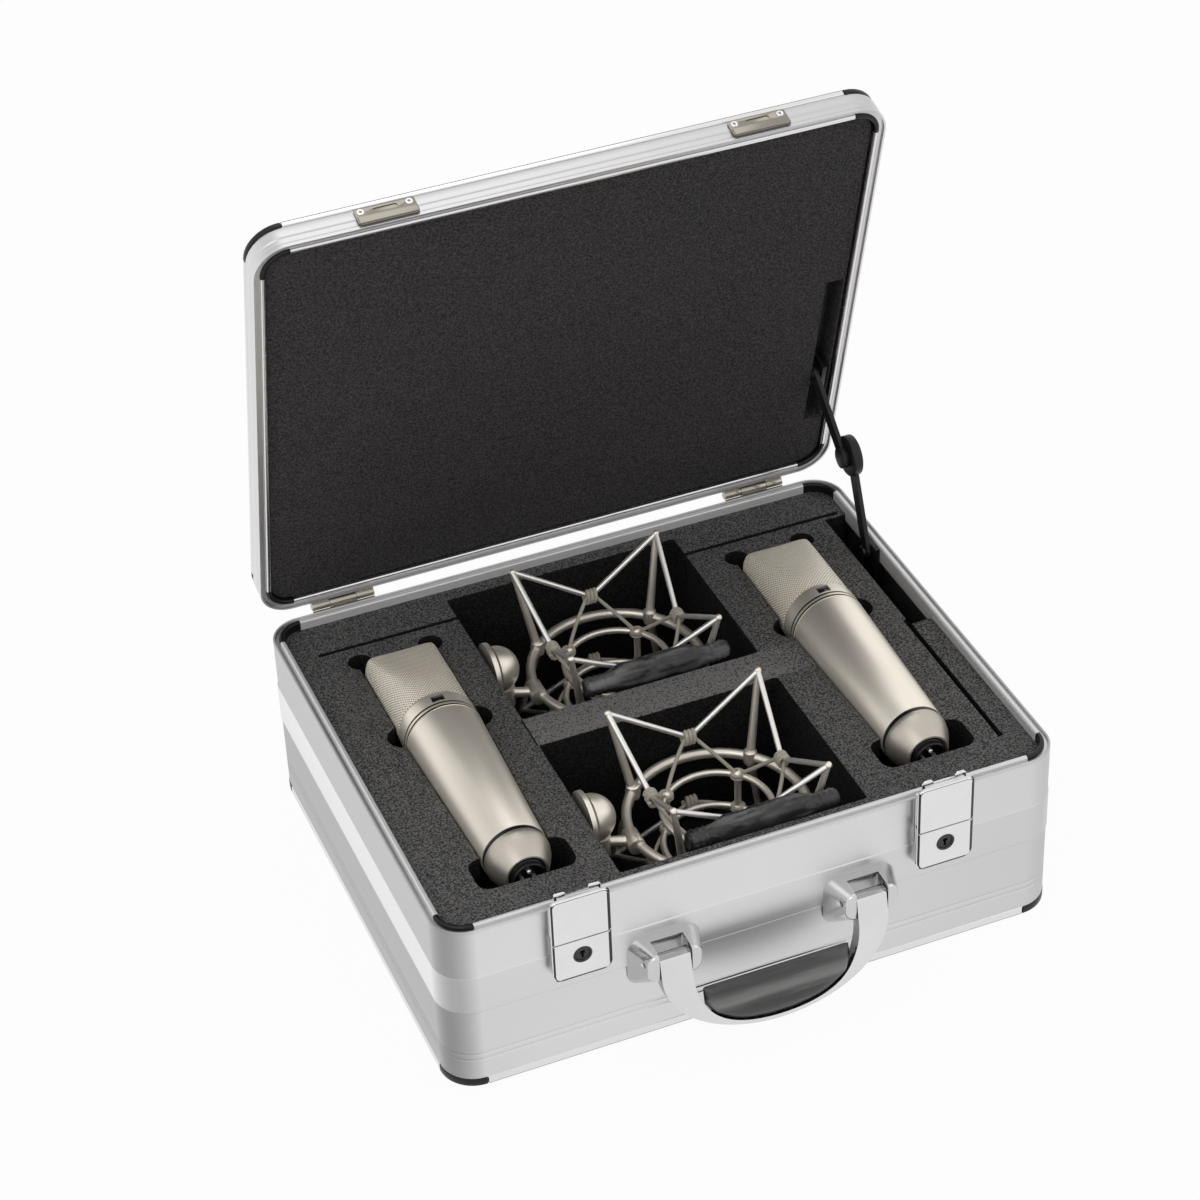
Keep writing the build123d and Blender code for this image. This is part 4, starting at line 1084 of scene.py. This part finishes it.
def add_mic_collar(side, x):
    """Ring with two grooves and a recessed window, dark glass in the window, and black rings in the
    grooves as painted shade.
    """
    profile = [(0, 16.9), (24.6, 16.9), (25.1, 17.2)]
    for place in sorted(COLLAR_GROOVES):
        profile += [(25.15, place - 0.3), (24.0, place - 0.2), (24.0, place + 1.2), (25.15, place + 1.3)]
    profile += [(25.2, 30.5), (25.0, 31.6), (24.4, 32.4), (23.6, 33.0), (0, 33.0)]
    bm = bmesh.new()
    turned(bm, profile, (x, 0, MIC_Z_MM), Y_AXIS, 96)
    top = MIC_Z_MM + 25.2
    bm = carve(bm, [block((x - 4.2, 23.2, top - 2.2), (x + 4.2, 29.6, top + 1))])
    # Black rings on the grooves' floors are painted shade in the grooves.
    for place in COLLAR_GROOVES:
        low, high = place - 0.27, place + 1.27
        black = [(23.0, low), (24.9, low), (24.9, high), (23.0, high)]
        turned(bm, black, (x, 0, MIC_Z_MM), Y_AXIS, 96, 1)
    add_piece(f"mic_{side}_ring", bm, [mic_satin, black_plastic], [f"mic_{side}_collar"])
    glass = bevelled(block((x - 4.1, 23.3, top - 2.3), (x + 4.1, 29.5, top - 1.1)), 0.3)
    add_piece(f"mic_{side}_window", glass, window_glass, [], f"mic_{side}")


def add_mic_tube(side, x):
    """Tapered tube, the dark line below it, the cone, and the plug with its three contacts."""
    axis = ((x, 0, MIC_Z_MM), Y_AXIS)
    tube, cone, plug = bmesh.new(), bmesh.new(), bmesh.new()
    turned(tube, TUBE_PROFILE, *axis, 96)
    turned(cone, CONE_PROFILE, *axis, 96)
    turned(cone, SEAL_PROFILE, *axis, 96, 1)
    turned(plug, PLUG_PROFILE, *axis, 72)
    for angle in (radians(90), radians(210), radians(330)):
        dx, dz = CONTACT_CIRCLE_R * cos(angle), CONTACT_CIRCLE_R * sin(angle)
        turned(plug, CONTACT_PROFILE, (x + dx, 0, MIC_Z_MM + dz), Y_AXIS, 20, 1)
    add_piece(f"mic_{side}_tube", tube, mic_satin, [f"mic_{side}_body"])
    add_piece(f"mic_{side}_cone", cone, [mic_cone, black_plastic], [f"mic_{side}_base"])
    add_piece(f"mic_{side}_plug", plug, [black_plastic, star_wire], [f"mic_{side}_connector"])


for side, x in (("left", -MIC_X_MM), ("right", MIC_X_MM)):
    add_mic_head(side, x)
    add_mic_collar(side, x)
    add_mic_tube(side, x)
print("microphones dressed, head stations:", len(head_stations()))

# %% [markdown]
# ## Shock mounts
# Each mount is bent wire. Two zigzag stars hold elastic cords, and the cords hold a cage. Wire and cord
# are both tubes on paths, so the same tree makes them. A cord is wrapped three times round each inner
# corner of a star, and that wrap is a short helix.

# %% Mount dimensions
MOUNT_X = 8.5
MOUNT_Y = {"front": -81.0, "back": 78.2}
RING_Z, RING_R, RING_TUBE_R = 81.5, 56.0, 3.2
PEAK_R = hypot(50.0, 50.0)
STARS = ((138.5, 108.0), (24.5, 55.0))
VALLEY_R = 43.0
CAGE_R, CAGE_Z, CAGE_TUBE_R = 34.0, (58.0, 84.0), 2.1
WRAP_TURNS, WRAP_R, CORD_R = 3, 3.3, 1.25
LUG_WRAP_R, LUG_CORD_R = 3.7, 1.1
STAR_WIRE_R = 1.75
QUARTERS = (0, 90, 180, 270)


def at(y, radius, degrees, z):
    """A point of a mount: polar about its centre."""
    angle = radians(degrees)
    return mm(MOUNT_X + radius * cos(angle), y + radius * sin(angle), z)


def outward(degrees):
    """Level direction away from a mount's axis."""
    angle = radians(degrees)
    return Vector((cos(angle), sin(angle), 0))


def in_mm(point):
    return tuple(point / MM)


def add_mount_frame(place, y):
    """Ring with knots, tapered posts, and two stars of bent wire with rounded tips."""
    bm = bmesh.new()
    ring = [at(y, RING_R, 3 * k, RING_Z) for k in range(120)]
    add_tubes(bm, [ring], RING_TUBE_R, mount_satin, 16, closed=True)
    knot = [(3.0, -5.2), (4.2, -4.4), (4.5, -2.6), (4.9, 0), (4.5, 2.6), (4.2, 4.4), (3.0, 5.2)]
    for quarter in QUARTERS:
        heart = at(y, RING_R, quarter + 45, RING_Z)
        turned(bm, knot, in_mm(heart), Z_AXIS, 24)
        for tip_z, valley_z in STARS:
            tip = at(y, PEAK_R, quarter + 45, tip_z)
            along = (tip - heart).normalized()
            length = (tip - heart).length / MM
            taper = [(2.9, 3.0), (2.5, length * 0.4), (1.9, length - 1.0), (0, length)]
            turned(bm, taper, in_mm(heart), along, 16)
            ball(bm, in_mm(tip), 2.3)
            valleys = [at(y, VALLEY_R, quarter + turn, valley_z) for turn in (0, 90)]
            add_tubes(bm, [[tip, valley] for valley in valleys], STAR_WIRE_R, mount_satin, 14, material=1)
            ball(bm, in_mm(valleys[0]), 2.2, 1)
    add_piece(f"mount_{place}_wire", bm, [mount_satin, star_wire], [f"mount_{place}_frame"])


def add_mount_cage(place, y):
    """Two hoops, and four bars with a ball at each end."""
    bm = bmesh.new()
    hoops = [[at(y, CAGE_R, 4 * k, z) for k in range(90)] for z in CAGE_Z]
    add_tubes(bm, hoops, CAGE_TUBE_R, mount_satin, 14, closed=True)
    for quarter in QUARTERS:
        ends = [at(y, CAGE_R, quarter + 45, z) for z in CAGE_Z]
        add_tubes(bm, [ends], CAGE_TUBE_R + 0.2, mount_satin, 14)
        for end in ends:
            ball(bm, in_mm(end), 3.4)
    add_piece(f"mount_{place}_cage", bm, mount_satin, [f"mount_{place}_cradle"])


def wrap_path(y, quarter, z):
    """Helix round a star's inner corner. Its axis lies along the star's rim."""
    heart = at(y, VALLEY_R, quarter, z)
    rim = Z_AXIS.cross(outward(quarter))
    path = []
    steps = 18 * WRAP_TURNS
    for k in range(steps + 1):
        turn = tau * k / 18
        shift = (k / steps - 0.5) * 2 * WRAP_TURNS * CORD_R
        path.append(heart + rim * (shift * MM) + outward(quarter) * (WRAP_R * MM * cos(turn))
                    + Z_AXIS * ((WRAP_R + 0.9) * MM * sin(turn)))
    return path


def bowed(start, end, bow):
    """A shallow arc between two points, drawn out by the vector bow at its middle."""
    return [start.lerp(end, k / 12) + bow * (4 * (k / 12) * (1 - k / 12)) for k in range(13)]


def add_mount_elastics(place, y):
    """Cords from each inner corner of a star to two lugs, the wraps there, and two turns on each lug."""
    cords = []
    for (tip_z, valley_z), lug_z in zip(STARS, (CAGE_Z[1], CAGE_Z[0])):
        for quarter in QUARTERS:
            rim = Z_AXIS.cross(outward(quarter))
            cords.append(wrap_path(y, quarter, valley_z))
            for turn in (45, -45):
                start = at(y, VALLEY_R, quarter, valley_z) + rim * (turn / 45 * 2.4 * MM)
                lug = at(y, CAGE_R, quarter + turn, lug_z)
                cords.append(bowed(start, lug, outward(quarter) * (1.8 * MM)))
    bm = bmesh.new()
    add_tubes(bm, cords, CORD_R, elastic, 10)
    for lug_z in CAGE_Z:
        for quarter in QUARTERS:
            lug = at(y, CAGE_R, quarter + 45, lug_z)
            rings = [[lug + Z_AXIS * (dz * MM) + outward(15 * k) * (LUG_WRAP_R * MM) for k in range(24)]
                     for dz in (-LUG_CORD_R, LUG_CORD_R)]
            add_tubes(bm, rings, LUG_CORD_R, elastic, 8, closed=True)
    add_piece(f"mount_{place}_cords", bm, elastic, [f"mount_{place}_elastics"])


for place, y in MOUNT_Y.items():
    add_mount_frame(place, y)
    add_mount_cage(place, y)
    add_mount_elastics(place, y)
    soften(f"mount_{place}_clamp", 0.8)
    soften(f"mount_{place}_knob", 0.5, 3)
print("mounts dressed")

# %% [markdown]
# ## Cable sleeves
# A soft leather sleeve lies beside each mount. It is a turned shape whose radius is disturbed by noise
# that is stretched round the sleeve, which makes folds, and it is gathered under a band at each end.

# %% Sleeves
SLEEVE_X0, SLEEVE_X1 = -44.0, 53.0
SLEEVE_DY, SLEEVE_Z = -55.9, 117.4
SLEEVE_BAND, SLEEVE_TAPER = 12.0, 16.0
SLEEVE_BAND_R, SLEEVE_WIDE, SLEEVE_TALL = 6.7, 7.9, 11.2
SLEEVE_AROUND = 64


def sleeve_halves(place, angle, seed):
    """Half width and half height at a place along it: ridged bands, folds, a fuller middle."""
    edge = min(place, SLEEVE_X1 - SLEEVE_X0 - place)
    if edge < SLEEVE_BAND:
        radius = SLEEVE_BAND_R - 0.35 + 0.35 * cos(edge * tau / 4.0) - (1.6 if edge < 0.8 else 0.0)
        return radius, radius
    share = min(1.0, (edge - SLEEVE_BAND) / SLEEVE_TAPER)
    full = smooth(share)
    fold = noise.noise(Vector((place * 0.07, cos(angle) * 1.4 + seed, sin(angle) * 1.4)))
    fine = noise.noise(Vector((place * 0.30, cos(angle) * 2.6, sin(angle) * 2.6 + seed)))
    crease = min(0.0, fold * 3.0 - 0.3) * share + min(0.0, fine) * 0.8
    wide = SLEEVE_BAND_R - 0.6 + (SLEEVE_WIDE - SLEEVE_BAND_R + 0.6) * full
    tall = SLEEVE_BAND_R - 0.6 + (SLEEVE_TALL - SLEEVE_BAND_R + 0.6) * full
    return wide + crease * 0.5, tall + crease


def add_sleeve(place_name, y, seed):
    rings = []
    for k in range(141):
        place = (SLEEVE_X1 - SLEEVE_X0) * k / 140
        ring = []
        for step in range(SLEEVE_AROUND):
            angle = tau * step / SLEEVE_AROUND
            wide, tall = sleeve_halves(place, angle, seed)
            ring.append(mm(MOUNT_X + SLEEVE_X0 + place, y + SLEEVE_DY + wide * cos(angle),
                           SLEEVE_Z + tall * sin(angle)))
        rings.append(ring)
    bm = bmesh.new()
    loft(bm, rings)
    add_piece(f"mount_{place_name}_cable_sleeve", bm, sleeve_leather, [f"mount_{place_name}_sleeve"])


for seed, (place, y) in enumerate(MOUNT_Y.items()):
    add_sleeve(place, y, 3.7 * seed)
print("sleeves made")

# %% [markdown]
# ## Foam
# The base block is cut foam: its edges are soft, but they stay straight. The lid's foam is pressed by
# the microphones when the lid closes, and here it has broader rounded edges.

base_block = soften("base_foam", 0.45, 2)
lid_block = soften("lid_foam", 1.5, 3)
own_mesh(lid_block)

# %% [markdown]
# ## Handle grip
# The grip is a moulded crescent under the metal arch: full and round in section, with a straight upper
# edge. Its section is an ellipse whose size follows the crescent's depth at each place along it.

# %% Handle grip
HANDLE_PIN_MM = (0.0, -177.0, 71.0)
HANDLE_TILT = radians(12)
GRIP_TOP, GRIP_HALF, GRIP_HALF_T, GRIP_STATIONS = 27.5, 47.3, 6.5, 90
INNER_EDGE = ((53.7, 17.0), (52.6, 25.0), (49.2, 35.0), (42.2, 45.5), (29.5, 53.6), (14.0, 57.5),
              (0.0, 58.4))


def hung(x, drop, out):
    """A point of the arch's own plane, drop below the pin and out from the plane, on the case."""
    y = HANDLE_PIN_MM[1] - drop * sin(HANDLE_TILT) - out * cos(HANDLE_TILT)
    z = HANDLE_PIN_MM[2] - drop * cos(HANDLE_TILT) + out * sin(HANDLE_TILT)
    return mm(x, y, z)


def inner_drop(x):
    """How far below the pin the arch's inner edge lies at x."""
    x = abs(x)
    for (x1, d1), (x0, d0) in zip(INNER_EDGE, INNER_EDGE[1:]):
        if x0 <= x <= x1:
            share = (x - x0) / (x1 - x0)
            bulge = 0.012 * (x1 - x0) ** 2 * share * (1 - share)
            return d0 + (d1 - d0) * share + bulge
    return GRIP_TOP


def add_grip():
    """The crescent, as ellipses from one tip to the other, closer together towards the tips."""
    rings = []
    for k in range(GRIP_STATIONS + 1):
        x = -GRIP_HALF * cos(pi * k / GRIP_STATIONS)
        low = max(inner_drop(x) + 0.2, GRIP_TOP + 0.6)
        end = min(1.0, ((GRIP_HALF - abs(x)) / 5.0 + 1e-4)) ** 0.5
        middle, half = (low + GRIP_TOP) / 2, (low - GRIP_TOP) / 2
        thick = GRIP_HALF_T * end * (0.72 + 0.28 * min(1.0, half / 12.0))
        ring = []
        for step in range(40):
            angle = tau * step / 40
            across = cos(angle)
            drop = middle + half * (abs(across) ** 0.9) * (1 if across > 0 else -1)
            ring.append(hung(x, drop, thick * sin(angle)))
        rings.append(ring)
    bm = bmesh.new()
    loft(bm, rings)
    add_piece("handle_soft_grip", bm, grip_plastic, ["handle_grip"])


def add_grip_lip():
    """Thin bright lip of the arch's inner shell along the grip's straight edge."""
    bm = bmesh.new()
    lip = [hung(x, GRIP_TOP - 0.3, -1.0) for x in (-GRIP_HALF + 0.8, GRIP_HALF - 0.8)]
    add_tubes(bm, [lip], 0.55, casting, 10)
    add_piece("handle_lip", bm, casting, [], body_of_node["handle_grip"])


add_grip()
add_grip_lip()
print("grip made")

# %% [markdown]
# ## Screws and rivets
# The hinge leaves are held by dome screws, and each striker by two rivets. One screw is turned with a
# cross cut in its head, one rivet with a dimple, and the stud tree sets them on their points.

# %% Screws and rivets
HINGE_X = (-145.0, 145.0)


def screw_head():
    """A dome screw of 4.8 mm with a cross-shaped recess, along +Z."""
    bm = bmesh.new()
    turned(bm, [(0, 0), (2.4, 0), (2.4, 0.3), (2.1, 0.7), (1.4, 1.0), (0, 1.1)], (0, 0, 0), Z_AXIS, 24)
    arms = ((1.3, 0.28), (0.28, 1.3))
    return carve(bm, [block((-dx, -dy, 0.5), (dx, dy, 2)) for dx, dy in arms])


def rivet_head():
    """A rolled rivet of 4.6 mm with a hollow in its middle, along +Z."""
    bm = bmesh.new()
    profile = ((0, 0), (2.3, 0), (2.3, 0.3), (1.9, 0.7), (1.4, 0.75), (0.95, 0.55), (0.8, 0.1), (0, 0.05))
    turned(bm, profile, (0, 0, 0), Z_AXIS, 28)
    return bm


base_spots = [(mm(x + dx, 164.4, 113.0), Y_AXIS) for x in HINGE_X for dx in (-14, 0, 14)]
set_studs("hinge_base_screws", screw_head(), base_spots, nickel, "base", ["hinge_screws"])
lid_spots = [(on_lid(x + dx, 164.4, 136.0), LID_BACK) for x in HINGE_X for dx in (-14, 0, 14)]
set_studs("hinge_lid_screws", screw_head(), lid_spots, nickel, "lid")
rivet_spots = [(on_lid(x + dx, -164.3, 135.2), -LID_BACK)
               for x in LATCH_X.values() for dx in (-14.8, 14.8)]
set_studs("catch_rivet_heads", rivet_head(), rivet_spots, rail, "lid", ["catch_rivets"])
print("screws:", len(base_spots) + len(lid_spots), "rivets:", len(rivet_spots))

# %% [markdown]
# ## Studio
# A pale floor, a white surround, one broad key light from the upper left and two weak fills: metal
# shows what is around it, so a bright, even surround is what makes aluminium look like aluminium.
# The surround and floor are white to the camera and to reflections, and light the case at a plain level.

# %% Floor, surround and lamps
FLOOR_HALF = 6.0


def white_to_camera(tree):
    """An output that is 1 on camera, glossy and transmission rays, and 0 on all others."""
    path = tree.nodes.new("ShaderNodeLightPath")
    most = path.outputs["Is Camera Ray"]
    for name in ("Is Glossy Ray", "Is Transmission Ray"):
        largest = tree.nodes.new("ShaderNodeMath")
        largest.operation = "MAXIMUM"
        wire(tree, (most, largest.inputs[0]), (path.outputs[name], largest.inputs[1]))
        most = largest.outputs[0]
    return most


def make_world(fill):
    """White where it is seen or reflected, and a plain grey fill light elsewhere."""
    world = bpy.data.worlds.new("studio")
    world.use_nodes = True
    tree = world.node_tree
    background = tree.nodes["Background"]
    background.inputs["Color"].default_value = (1, 1, 1, 1)
    strength = tree.nodes.new("ShaderNodeMapRange")
    strength.inputs["To Min"].default_value = fill
    strength.inputs["To Max"].default_value = 1.0
    wire(tree, (white_to_camera(tree), strength.inputs["Value"]),
         (strength.outputs["Result"], background.inputs["Strength"]))
    bpy.context.scene.world = world


def make_floor(glow):
    """A pale floor that keeps the shadow: part diffuse, part plain white to the camera."""
    bm = bmesh.new()
    bmesh.ops.create_grid(bm, x_segments=1, y_segments=1, size=FLOOR_HALF)
    floor = placed("floor", as_mesh(bm, "floor"))
    finish = Finish("floor", (0.9, 0.9, 0.9), 0.9, specular=0.0)
    tree = finish.tree
    light, mixer = tree.nodes.new("ShaderNodeEmission"), tree.nodes.new("ShaderNodeMixShader")
    share = Field(finish, white_to_camera(tree)) * glow
    surface = tree.nodes["Material Output"].inputs["Surface"]
    wire(tree, (share.socket, mixer.inputs["Fac"]), (finish.shader.outputs[0], mixer.inputs[1]),
         (light.outputs[0], mixer.inputs[2]), (mixer.outputs[0], surface))
    floor.data.materials.append(finish.material)


def softbox(name, place, aim, size, watts):
    """A square area light at place that faces aim."""
    lamp = bpy.data.lights.new(name, "AREA")
    lamp.size = size
    lamp.energy = watts
    obj = placed(name, lamp)
    obj.location = place
    obj.rotation_euler = (Vector(aim) - Vector(place)).to_track_quat("-Z", "Y").to_euler()


make_world(0.62)
make_floor(0.95)
softbox("key", (-1.5, -1.3, 2.4), (0, 0, 0.1), 1.6, 9.0)
softbox("fill", (1.9, -1.2, 1.3), (0, 0, 0.15), 1.4, 3.0)
softbox("top", (0.2, 1.0, 2.4), (0, 0.1, 0.2), 1.2, 4.0)
bpy.context.scene.view_settings.view_transform = "Standard"
print("studio lit")
